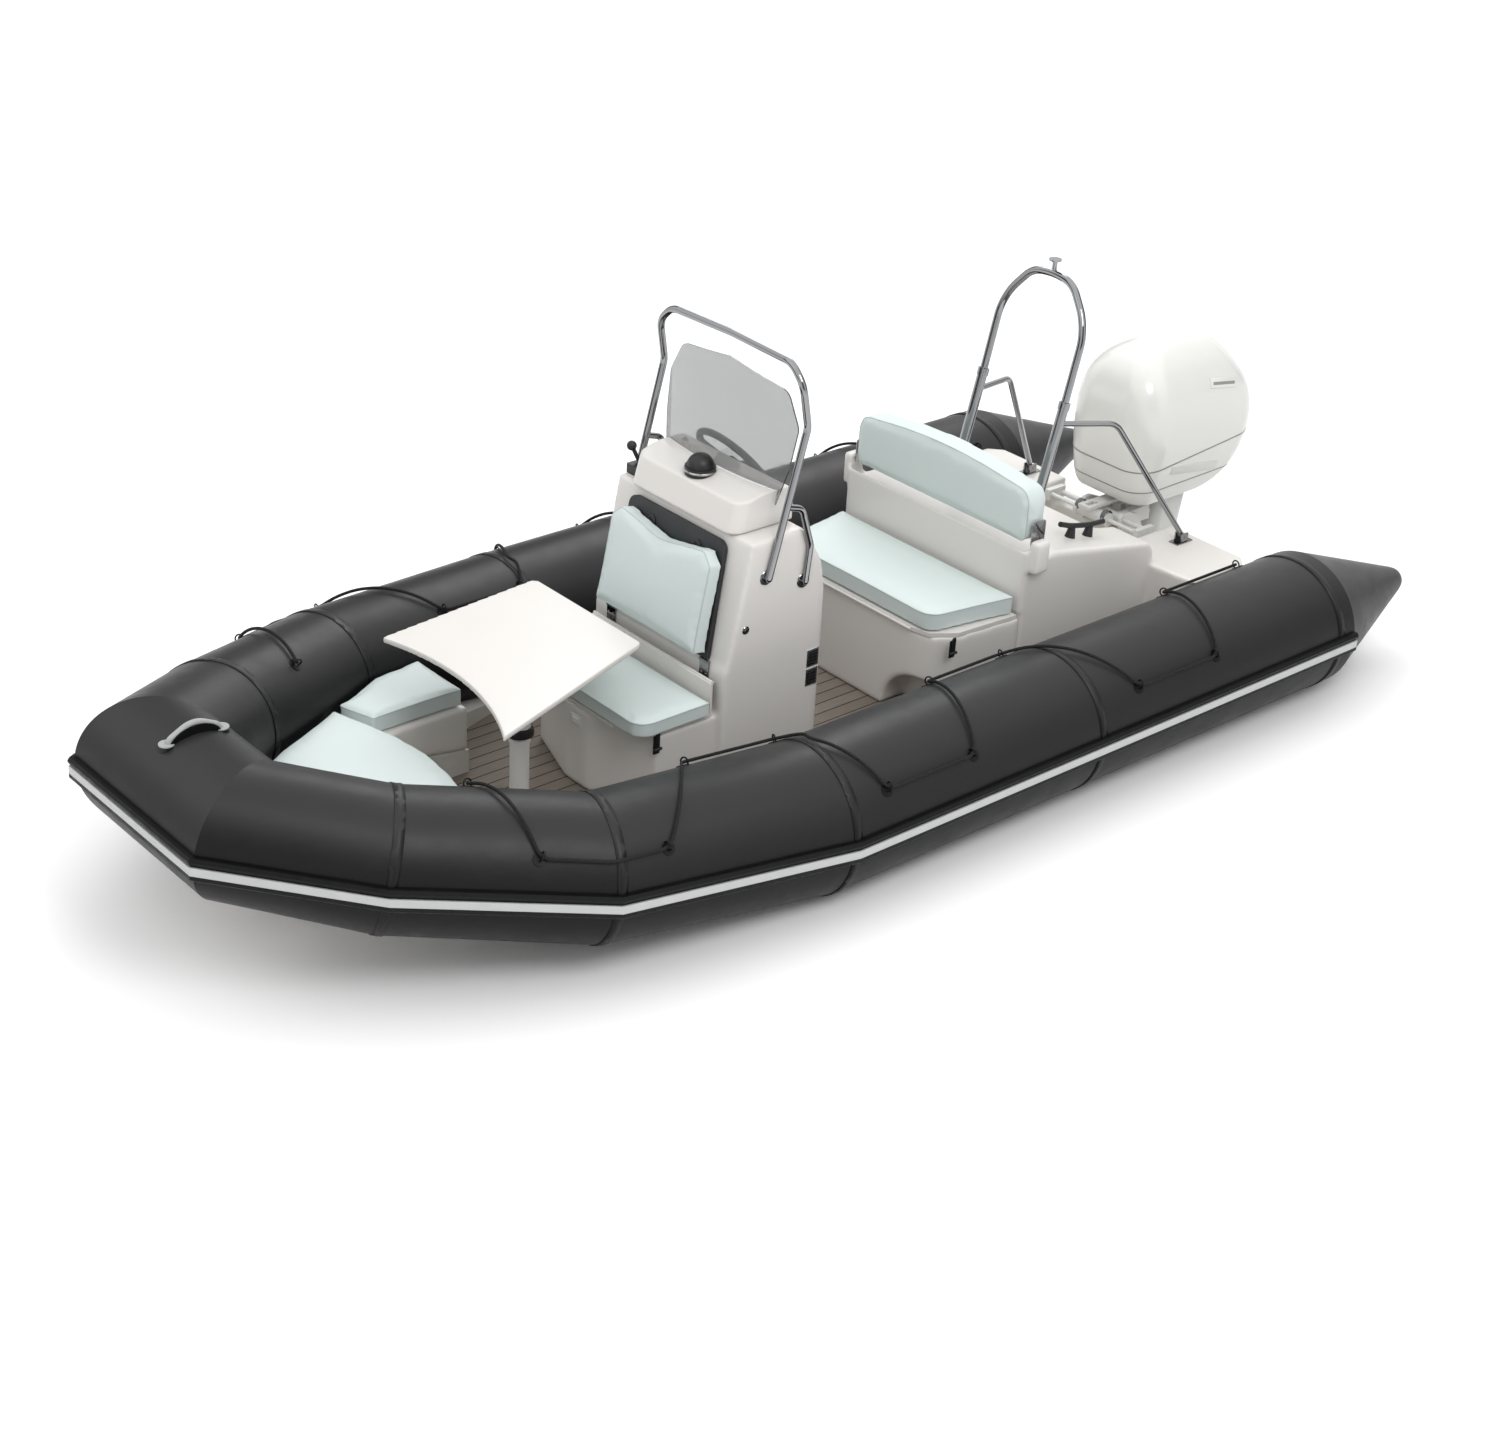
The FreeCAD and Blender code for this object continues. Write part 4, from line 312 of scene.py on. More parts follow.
# Knees of the port tube's axis, from the bow corner to the tip of the cone.
TUBE_AXIS = ((2.505, 0.262, 0.56), (2.136, 0.536, 0.452), (1.518, 0.828, 0.338), (0.633, 0.921, 0.27),
             (-2.125, 0.921, 0.27), (-2.74, 0.921, 0.27))

# CAD node and the finish it gets.
FINISHES = [
    ("hull", "hull"), ("deck_planking", "deck"), ("tube_port", "tube"), ("tube_starboard", "tube"),
    ("tube_bow", "tube"), ("rubbing_strake", "strake"), ("strake_stripe", "stripe"), ("bow_handle", "handle"),
    ("towing_eye", "stainless"), ("bow_seat_base", "gelcoat"), ("console_body", "gelcoat"),
    ("dash_pod", "gelcoat"),
    ("windscreen", "smoked"), ("console_rails", "polished"), ("compass", "dark"), ("helm_controls", "dark"),
    ("steering_wheel", "grey"), ("front_seat_lid", "gelcoat"), ("back_panel", "charcoal"),
    ("seat_hinges", "polished"), ("bench_base", "gelcoat"), ("bench_lid", "gelcoat"),
    ("stern_moulding", "gelcoat"),
    ("backrest_arms", "stainless"), ("cleats", "dark"), ("ski_arch", "polished"), ("arch_stays", "polished"),
    ("table_top", "gelcoat"), ("table_pedestal", "paint"), ("lifelines", "rope"),
    ("lifeline_rings", "stainless"),
    ("clamp_bracket", "paint"), ("swivel_bracket", "paint"), ("steering_cylinder", "paint"),
    ("engine_cowl", "cowl"), ("powerhead", "casting"), ("engine_leg", "paint"), ("propeller", "stainless"),
    ("trim_barrel", "casting"), ("trim_rod", "stainless"),
]


# ---------------------------------------------------------------- mesh tools

def new_object(name, mesh, finish, body):
    """Links a mesh as a piece that rides on a body."""
    made = bpy.data.objects.new(name, mesh)
    bpy.context.scene.collection.objects.link(made)
    mesh.materials.clear()
    for each in (finish if isinstance(finish, tuple) else (finish,)):
        mesh.materials.append(MATERIALS[each])
    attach(made, body)
    return made


def baked(source):
    """The evaluated mesh of an object."""
    bpy.context.view_layer.update()
    graph = bpy.context.evaluated_depsgraph_get()
    return bpy.data.meshes.new_from_object(source.evaluated_get(graph))


def shaded(mesh, angle=35.0):
    """Smooth faces, with edges sharper than the angle kept crisp."""
    for face in mesh.polygons:
        face.use_smooth = True
    mesh.set_sharp_from_angle(angle=math.radians(angle))
    return mesh


def merged(node_name):
    """A bmesh copy of a CAD node with its loose triangles joined."""
    work = bmesh.new()
    work.from_mesh(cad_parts[node_name].data)
    bmesh.ops.remove_doubles(work, verts=work.verts, dist=1e-6)
    return work


def to_mesh(work, name):
    """Turns a bmesh into a mesh and frees it."""
    mesh = bpy.data.meshes.new(name)
    work.to_mesh(mesh)
    work.free()
    return mesh


def islands(node_name):
    """The separate solids of a CAD node, each as a mesh."""
    work = merged(node_name)
    left = set(work.verts)
    meshes = []
    while left:
        group, front = set(), [left.pop()]
        while front:
            vert = front.pop()
            group.add(vert)
            for edge in vert.link_edges:
                other = edge.other_vert(vert)
                if other in left:
                    left.discard(other)
                    front.append(other)
        single = bmesh.new()
        index = {vert: single.verts.new(vert.co) for vert in group}
        for face in work.faces:
            if face.verts[0] in group:
                single.faces.new([index[v] for v in face.verts])
        meshes.append(to_mesh(single, "island"))
    work.free()
    return meshes


def remeshed(name, mesh, voxel, shrink=0.0, smooth=0, keep=1.0):
    """A form rebuilt on an even grid, drawn in and rounded at its edges."""
    made = bpy.data.objects.new(name, mesh)
    bpy.context.scene.collection.objects.link(made)
    grid = made.modifiers.new("grid", "REMESH")
    grid.mode = "VOXEL"
    grid.voxel_size = voxel
    if shrink:
        draw = made.modifiers.new("draw", "DISPLACE")
        draw.strength = -shrink
        draw.mid_level = 0
    if smooth:
        soft = made.modifiers.new("soft", "SMOOTH")
        soft.factor = 0.5
        soft.iterations = smooth
    if keep < 1:
        thin = made.modifiers.new("thin", "DECIMATE")
        thin.ratio = keep
    made.data = baked(made)
    made.modifiers.clear()
    return made


def moulded(node_name, body, finish, voxel, smooth, keep):
    """A moulding with rounded edges in place of its sharp CAD form."""
    made = remeshed(node_name + "_form", to_mesh(merged(node_name), node_name), voxel, 0.0, smooth, keep)
    made.data.materials.clear()
    made.data.materials.append(MATERIALS[finish])
    shaded(made.data, 60)
    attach(made, body)
    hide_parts(node_name)
    return made


def band(name, node_name, point, normal, width, proud, finish, body):
    """A strip of a CAD node's skin between two planes, set slightly proud of it."""
    work = merged(node_name)
    bmesh.ops.recalc_face_normals(work, faces=work.faces)
    for side in (-1, 1):
        bmesh.ops.bisect_plane(work, geom=work.verts[:] + work.edges[:] + work.faces[:],
                               plane_co=point + normal * side * width / 2, plane_no=normal * side,
                               clear_outer=True)
    work.normal_update()
    for vert in work.verts:
        vert.co += vert.normal * proud
    made = new_object(name, shaded(to_mesh(work, name), 25), finish, body)
    wall = made.modifiers.new("wall", "SOLIDIFY")
    wall.thickness = proud * 0.9
    wall.offset = -1
    made.data = baked(made)
    made.modifiers.clear()
    return made


def bar(name, points, radius, finish, body, closed=False, curved=False):
    """A round bar through points."""
    line = bpy.data.curves.new(name, "CURVE")
    line.dimensions = "3D"
    line.bevel_depth = radius
    line.bevel_resolution = 4
    line.use_fill_caps = True
    spline = line.splines.new("NURBS" if curved else "POLY")
    spline.points.add(len(points) - 1)
    for knot, point in zip(spline.points, points):
        knot.co = (*point, 1)
    if curved:
        spline.use_endpoint_u = not closed
        spline.order_u = 3
    spline.use_cyclic_u = closed
    source = bpy.data.objects.new(name, line)
    bpy.context.scene.collection.objects.link(source)
    mesh = baked(source)
    bpy.data.objects.remove(source)
    return new_object(name, shaded(mesh, 50), finish, body)


def frame_of(centre, out, up=Vector((0, 0, 1))):
    """A placement whose Z axis points out and whose Y axis is as near up as it can be."""
    out = out.normalized()
    side = up.cross(out).normalized() if abs(up.dot(out)) < 0.99 else Vector((0, 1, 0))
    above = out.cross(side)
    return Matrix.Translation(centre) @ Matrix((side, above, out)).transposed().to_4x4()


def pad_block(name, at, size, finish, body, radius=0.002, segments=3):
    """A block with rounded edges, centred on a placement."""
    work = bmesh.new()
    bmesh.ops.create_cube(work, size=1, matrix=at @ Matrix.Diagonal((*size, 1)))
    bmesh.ops.bevel(work, geom=work.edges[:], offset=radius, segments=segments, profile=0.5, affect="EDGES")
    return new_object(name, shaded(to_mesh(work, name)), finish, body)


def turned(name, at, rows, finish, body, steps=40):
    """A round piece turned about a placement's Z axis: rows are (radius, height)."""
    work = bmesh.new()
    rings = []
    for radius, height in rows:
        if radius < 1e-6:
            rings.append([work.verts.new(at @ Vector((0, 0, height)))])
            continue
        rings.append([work.verts.new(at @ Vector((radius * math.cos(2 * math.pi * i / steps),
                                                  radius * math.sin(2 * math.pi * i / steps), height)))
                      for i in range(steps)])
    for low, high in zip(rings, rings[1:]):
        for i in range(steps):
            a, b = low[i % len(low)], low[(i + 1) % len(low)]
            c, d = high[(i + 1) % len(high)], high[i % len(high)]
            corners = [v for k, v in enumerate((a, b, c, d)) if v not in (a, b, c, d)[:k]]
            if len(corners) > 2:
                work.faces.new(corners)
    bmesh.ops.recalc_face_normals(work, faces=work.faces)
    return new_object(name, shaded(to_mesh(work, name), 30), finish, body)


def fastener_tree():
    """Geometry Nodes: a domed screw head at each point, its axis along the point's own direction."""
    tree = bpy.data.node_groups.new("screw_heads", "GeometryNodeTree")
    face = tree.interface
    face.new_socket("Geometry", in_out="INPUT", socket_type="NodeSocketGeometry")
    radius = face.new_socket("Head radius", in_out="INPUT", socket_type="NodeSocketFloat")
    finish = face.new_socket("Finish", in_out="INPUT", socket_type="NodeSocketMaterial")
    face.new_socket("Geometry", in_out="OUTPUT", socket_type="NodeSocketGeometry")
    make, join = tree.nodes.new, tree.links.new
    given, result = make("NodeGroupInput"), make("NodeGroupOutput")
    head = make("GeometryNodeMeshUVSphere")
    head.inputs["Segments"].default_value = 12
    head.inputs["Rings"].default_value = 6
    join(given.outputs["Head radius"], head.inputs["Radius"])
    flat = make("GeometryNodeTransform")
    flat.inputs["Scale"].default_value = (1, 1, 0.45)
    join(head.outputs["Mesh"], flat.inputs["Geometry"])
    axis = make("GeometryNodeInputNamedAttribute")
    axis.data_type = "FLOAT_VECTOR"
    axis.inputs["Name"].default_value = "axis"
    turn = make("FunctionNodeAlignRotationToVector")
    turn.axis = "Z"
    join(axis.outputs["Attribute"], turn.inputs["Vector"])
    spread_out = make("GeometryNodeInstanceOnPoints")
    join(given.outputs["Geometry"], spread_out.inputs["Points"])
    join(flat.outputs["Geometry"], spread_out.inputs["Instance"])
    join(turn.outputs["Rotation"], spread_out.inputs["Rotation"])
    real = make("GeometryNodeRealizeInstances")
    join(spread_out.outputs["Instances"], real.inputs["Geometry"])
    dress = make("GeometryNodeSetMaterial")
    join(real.outputs["Geometry"], dress.inputs["Geometry"])
    join(given.outputs["Finish"], dress.inputs["Material"])
    join(dress.outputs["Geometry"], result.inputs["Geometry"])
    return tree, radius.identifier, finish.identifier


def screws(name, places, radius, finish, body):
    """Screw heads at (point, direction) places."""
    tree, radius_id, finish_id = fastener_tree()
    mesh = bpy.data.meshes.new(name)
    mesh.from_pydata([tuple(point) for point, way in places], [], [])
    axis = mesh.attributes.new("axis", "FLOAT_VECTOR", "POINT")
    for i, (point, way) in enumerate(places):
        axis.data[i].vector = way.normalized()
    made = new_object(name, mesh, finish, body)
    grow = made.modifiers.new("heads", "NODES")
    grow.node_group = tree
    grow[radius_id] = radius
    grow[finish_id] = MATERIALS[finish]
    mesh = baked(made)
    made.modifiers.clear()
    made.data = shaded(mesh, 60)
    return made


def top_outline(mesh, up, step=0.014):
    """Evenly spaced points round the face of a solid that looks up."""
    work = bmesh.new()
    work.from_mesh(mesh)
    work.normal_update()
    rim = [edge for edge in work.edges
           if len([f for f in edge.link_faces if f.normal.dot(up) > 0.9]) == 1]
    links = {}
    for edge in rim:
        for a, b in (edge.verts, reversed(edge.verts)):
            links.setdefault(a, []).append(b)
    start = next(iter(links))
    loop, last = [start], None
    while True:
        onward = [v for v in links[loop[-1]] if v != last and (v == start or v not in loop)]
        if not onward or onward[0] == start:
            break
        last = loop[-1]
        loop.append(onward[0])
    points = [v.co.copy() for v in loop]
    work.free()
    even = []
    for a, b in zip(points, points[1:] + points[:1]):
        count = max(1, round((b - a).length / step))
        even += [a.lerp(b, i / count) for i in range(count)]
    return even


def cushion(name, source_mesh, body, slack, voxel, swell, up):
    """A sewn pad blown up from a CAD solid by cloth pressure, darker on the faces that don't look up, with
    piping at its edge.
    """
    rim = top_outline(source_mesh, up)
    made = remeshed(name, source_mesh.copy(), voxel, slack, 3)
    start = [vert.co.copy() for vert in made.data.vertices]
    cloth = made.modifiers.new("cloth", "CLOTH")
    cloth.settings.use_pressure = True
    cloth.settings.uniform_pressure_force = 4
    cloth.settings.effector_weights.gravity = 0
    cloth.point_cache.frame_start = 1
    cloth.point_cache.frame_end = 20
    for step in range(1, 21):
        bpy.context.scene.frame_set(step)
    blown = baked(made)
    made.modifiers.clear()
    for vert, before, after in zip(made.data.vertices, start, blown.vertices):
        move = after.co - before
        if move.length > swell:
            move = move.normalized() * swell
        vert.co = before + move
    bpy.data.meshes.remove(blown)
    bpy.context.scene.frame_set(1)
    smooth = made.modifiers.new("smooth", "SMOOTH")
    smooth.factor = 0.5
    smooth.iterations = 7
    fine = made.modifiers.new("fine", "SUBSURF")
    fine.levels = fine.render_levels = 1
    made.data = baked(made)
    made.modifiers.clear()
    for face in made.data.polygons:
        face.use_smooth = True
        face.material_index = 0 if face.normal.dot(up) > 0.55 else 1
    made.data.materials.clear()
    made.data.materials.append(MATERIALS["vinyl"])
    made.data.materials.append(MATERIALS["vinyl_side"])
    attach(made, body)
    skin = BVHTree.FromPolygons([v.co for v in made.data.vertices], [f.vertices for f in made.data.polygons])
    middle = sum(rim, Vector()) / len(rim)
    inward = [point - (point - middle).normalized() * 0.012 - up * 0.006 for point in rim]
    seam = [skin.find_nearest(point)[0] for point in inward]
    seam = [(a + b * 2 + c) / 4 for a, b, c in zip(seam[-1:] + seam[:-1], seam, seam[1:] + seam[:1])]
    bar(name + "_piping", seam, 0.0028, "piping", body, closed=True)
    return made


# ---------------------------------------------------------------- operators

class RIB_Settings(bpy.types.PropertyGroup):
    """Choices for the rib boat's looks."""
    voxel: bpy.props.FloatProperty(
        name="Cushion voxel", description="Size of the cells the cushions are remeshed to",
        default=0.009, min=0.004, max=0.02, unit="LENGTH")
    swell: bpy.props.FloatProperty(
        name="Cushion swell", description="How far a cushion's skin may move when it is blown up",
        default=0.012, min=0.0, max=0.03, unit="LENGTH")
    floor_size: bpy.props.FloatProperty(
        name="Floor size", description="Width of the pale floor", default=60.0, min=20.0, unit="LENGTH")
    zenith: bpy.props.FloatProperty(
        name="Zenith light", description="Brightness of the sky overhead", default=1.35, min=0.0, max=4.0)
    horizon: bpy.props.FloatProperty(
        name="Horizon light", description="Brightness of the sky at the horizon", default=0.95, min=0.0,
        max=4.0)
    flags: bpy.props.FloatProperty(
        name="Studio flags", description="Brightness of the dark cards round the horizon", default=0.12,
        min=0.0, max=1.0)


def settings():
    return bpy.context.scene.rib_settings


class RIB_OT_stage(bpy.types.Operator):
    """Pale floor at the waterline, soft lights and the camera"""
    bl_idname = "rib.stage"
    bl_label = "Stage"

    def execute(self, context):
        chosen = settings()
        bpy.ops.mesh.primitive_plane_add(size=chosen.floor_size, location=(0, 0, 0))
        floor = context.object
        floor.name = "studio_floor"
        paper, shader = material("floor_paper", Roughness=0.9, Specular_IOR_Level=0.2)
        where = place(paper)
        link(paper, tint(paper, noise(paper, where, 0.4, 2), "fafafa", "fcfcfc"), shader, "Base Color")
        floor.data.materials.append(paper)
        world = bpy.data.worlds.new("studio")
        world.use_nodes = True
        back = world.node_tree.nodes["Background"]
        back.inputs["Color"].default_value = (1, 1, 1, 1)
        way = world.node_tree.nodes.new("ShaderNodeTexCoord")
        split = world.node_tree.nodes.new("ShaderNodeSeparateXYZ")
        sky = world.node_tree.nodes.new("ShaderNodeMapRange")
        sky.inputs["To Min"].default_value = chosen.horizon
        sky.inputs["To Max"].default_value = chosen.zenith
        links = world.node_tree.links
        links.new(way.outputs["Generated"], split.inputs["Vector"])
        links.new(split.outputs["Z"], sky.inputs["Value"])
        steps = [world.node_tree.nodes.new("ShaderNodeMath") for each in range(4)]
        for step, kind in zip(steps, ("ARCTAN2", "MULTIPLY", "SINE", "MULTIPLY")):
            step.operation = kind
        flag = world.node_tree.nodes.new("ShaderNodeMapRange")
        for socket, value in (("From Min", -0.45), ("From Max", 0.1), ("To Min", chosen.flags),
                              ("To Max", 1.0)):
            flag.inputs[socket].default_value = value
        links.new(split.outputs["Y"], steps[0].inputs[0])
        links.new(split.outputs["X"], steps[0].inputs[1])
        links.new(steps[0].outputs[0], steps[1].inputs[0])
        steps[1].inputs[1].default_value = 4
        links.new(steps[1].outputs[0], steps[2].inputs[0])
        links.new(steps[2].outputs[0], flag.inputs["Value"])
        links.new(flag.outputs["Result"], steps[3].inputs[0])
        links.new(sky.outputs["Result"], steps[3].inputs[1])
        overhead = world.node_tree.nodes.new("ShaderNodeMapRange")
        overhead.inputs["From Min"].default_value = 0.45
        overhead.inputs["From Max"].default_value = 0.75
        links.new(split.outputs["Z"], overhead.inputs["Value"])
        mixed = world.node_tree.nodes.new("ShaderNodeMix")
        links.new(overhead.outputs["Result"], mixed.inputs[0])
        links.new(steps[3].outputs[0], mixed.inputs[2])
        links.new(sky.outputs["Result"], mixed.inputs[3])
        seen = world.node_tree.nodes.new("ShaderNodeMix")
        seen.inputs[3].default_value = 1.0
        links.new(world.node_tree.nodes.new("ShaderNodeLightPath").outputs["Is Camera Ray"], seen.inputs[0])
        links.new(mixed.outputs[0], seen.inputs[2])
        links.new(seen.outputs[0], back.inputs["Strength"])
        context.scene.world = world
        for name, spot, power, area in (
                ("key", (1.5, 5.5, 6.5), 170, 3.0), ("fill", (5.5, -1.5, 4.5), 50, 4.0),
                ("rim", (-4.0, -4.0, 5.5), 130, 3.5)):
            lamp = bpy.data.lights.new(name, "AREA")
            lamp.energy = power
            lamp.size = area
            made = bpy.data.objects.new(name, lamp)
            made.location = spot
            made.rotation_mode = "QUATERNION"
            made.rotation_quaternion = (Vector((0, 0, 0.4)) - Vector(spot)).to_track_quat("-Z", "Y")
            context.scene.collection.objects.link(made)
        camera = bpy.data.cameras.new("camera")
        camera.lens = 60.94
        camera.sensor_width = 36
        camera.clip_end = 200
        made = bpy.data.objects.new("camera", camera)
        context.scene.collection.objects.link(made)
        yaw, pitch, roll = 3.970486, 0.501904, 0.061180
        ahead = Vector((math.cos(yaw) * math.cos(pitch), math.sin(yaw) * math.cos(pitch), -math.sin(pitch)))
        right = Vector((math.sin(yaw), -math.cos(yaw), 0))
        above = right.cross(ahead)
        right, above = (right * math.cos(roll) + above * math.sin(roll),
                        above * math.cos(roll) - right * math.sin(roll))
        turn = Matrix((right, above, -ahead)).transposed()
        made.matrix_world = Matrix.Translation((5.9784, 6.4276, 4.8585)) @ turn.to_4x4()
        context.scene.camera = made
        context.scene.view_settings.view_transform = "Standard"
        return {"FINISHED"}


class RIB_OT_finishes(bpy.types.Operator):
    """Gives each CAD node its real finish"""
    bl_idname = "rib.finishes"
    bl_label = "Finishes"

    def execute(self, context):
        for name, finish in FINISHES:
            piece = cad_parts[name]
            piece.data.materials.clear()
            piece.data.materials.append(MATERIALS[finish])
        return {"FINISHED"}


class RIB_OT_cushions(bpy.types.Operator):
    """Sewn vinyl cushions in place of the plain CAD blocks"""
    bl_idname = "rib.cushions"
    bl_label = "Cushions"

    def execute(self, context):
        chosen = settings()
        rows = (("bow_cushions", "boat", Vector((0, 0, 1)), 0.5),
                ("front_seat_cushion", "front_lid", Vector((0, 0, 1)), 0.6),
                ("back_cushion", "front_back", Vector((0.983, 0, 0.182)), 0.6),
                ("bench_cushion", "bench_seat", Vector((0, 0, 1)), 0.6),
                ("bench_backrest", "backrest", Vector((1, 0, 0)), 0.7))
        for name, body, up, fill in rows:
            for number, mesh in enumerate(islands(name)):
                piece = cushion(f"{name}_pad_{number}", mesh, body, 0.008, chosen.voxel, chosen.swell, up)
                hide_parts(name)
        return {"FINISHED"}


class RIB_OT_mouldings(bpy.types.Operator):
    """Gelcoat mouldings with the rounded edges that a mould leaves"""
    bl_idname = "rib.mouldings"
    bl_label = "Mouldings"

    def execute(self, context):
        for name, voxel, rounds, keep in (("console_body", 0.0085, 22, 0.18), ("dash_pod", 0.006, 8, 0.3),
                                          ("bench_base", 0.0085, 14, 0.18),
                                          ("stern_moulding", 0.009, 8, 0.18),
                                          ("bow_seat_base", 0.009, 8, 0.2), ("table_top", 0.005, 3, 0.25)):
            moulded(name, "boat", "gelcoat", voxel, rounds, keep)
        return {"FINISHED"}


class RIB_OT_tube_trim(bpy.types.Operator):
    """Lap seams round the tubes, cone bands and the black web of the bow handle"""
    bl_idname = "rib.tube_trim"
    bl_label = "Tube seams and patches"

    def execute(self, context):
        for side, tube in ((1, "tube_port"), (-1, "tube_starboard")):
            knees = [Vector((x, side * y, z)) for x, y, z in TUBE_AXIS]
            runs = [(b - a).normalized() for a, b in zip(knees, knees[1:])]
            seams = [(knees[i], (runs[i - 1] + runs[i]).normalized()) for i in (1, 2, 3)]
            seams += [(knees[3].lerp(knees[4], share), runs[3]) for share in (0.45, 0.97)]
            for number, (point, normal) in enumerate(seams):
                band(f"{tube}_seam_{number}", tube, point, normal, 0.036, 0.003, "tube", "boat")
            band(f"{tube}_cone_band", tube, knees[4] - runs[4] * 0.1, runs[4], 0.012, 0.0016, "patch", "boat")
        low, high = (Vector(corner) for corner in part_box("bow_handle"))
        middle, reach = (low + high) / 2, (high.x - low.x) / 2 - 0.03
        arc = [Vector((math.cos(turn), 0, math.sin(turn))) for turn in (math.pi * i / 16 for i in range(17))]
        work = bmesh.new()
        rows = [[work.verts.new(Vector((middle.x + way.x * reach, middle.y + side * 0.016,
                                        low.z + 0.004 + way.z * (high.z - low.z - 0.018)))) for way in arc]
                for side in (-1, 1)]
        work.faces.new(rows[0])
        work.faces.new(list(reversed(rows[1])))
        for i in range(17):
            j = (i + 1) % 17
            work.faces.new((rows[0][j], rows[0][i], rows[1][i], rows[1][j]))
        bmesh.ops.recalc_face_normals(work, faces=work.faces)
        new_object("bow_handle_web", shaded(to_mesh(work, "web")), "patch", "boat")
        return {"FINISHED"}


class RIB_OT_rings(bpy.types.Operator):
    """Stainless rings of the lifelines, each on its black rubber pad"""
    bl_idname = "rib.rings"
    bl_label = "Lifeline rings"

    def execute(self, context):
        groups = {"patch": bmesh.new(), "stainless": bmesh.new()}
        for mesh in islands("lifeline_rings"):
            points = [vert.co for vert in mesh.vertices]
            size = sorted(Vector(map(max, *points)) - Vector(map(min, *points)))
            flat = sum(face.area for face in mesh.polygons) / (size[1] * size[2])
            groups["patch" if flat > PAD_COVER else "stainless"].from_mesh(mesh)
        made = [new_object(f"lifeline_ring_{finish}", shaded(to_mesh(work, "ring")), finish, "boat")
                for finish, work in groups.items() if work.verts]
        for piece in made:
            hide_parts("lifeline_rings")
        return {"FINISHED"}


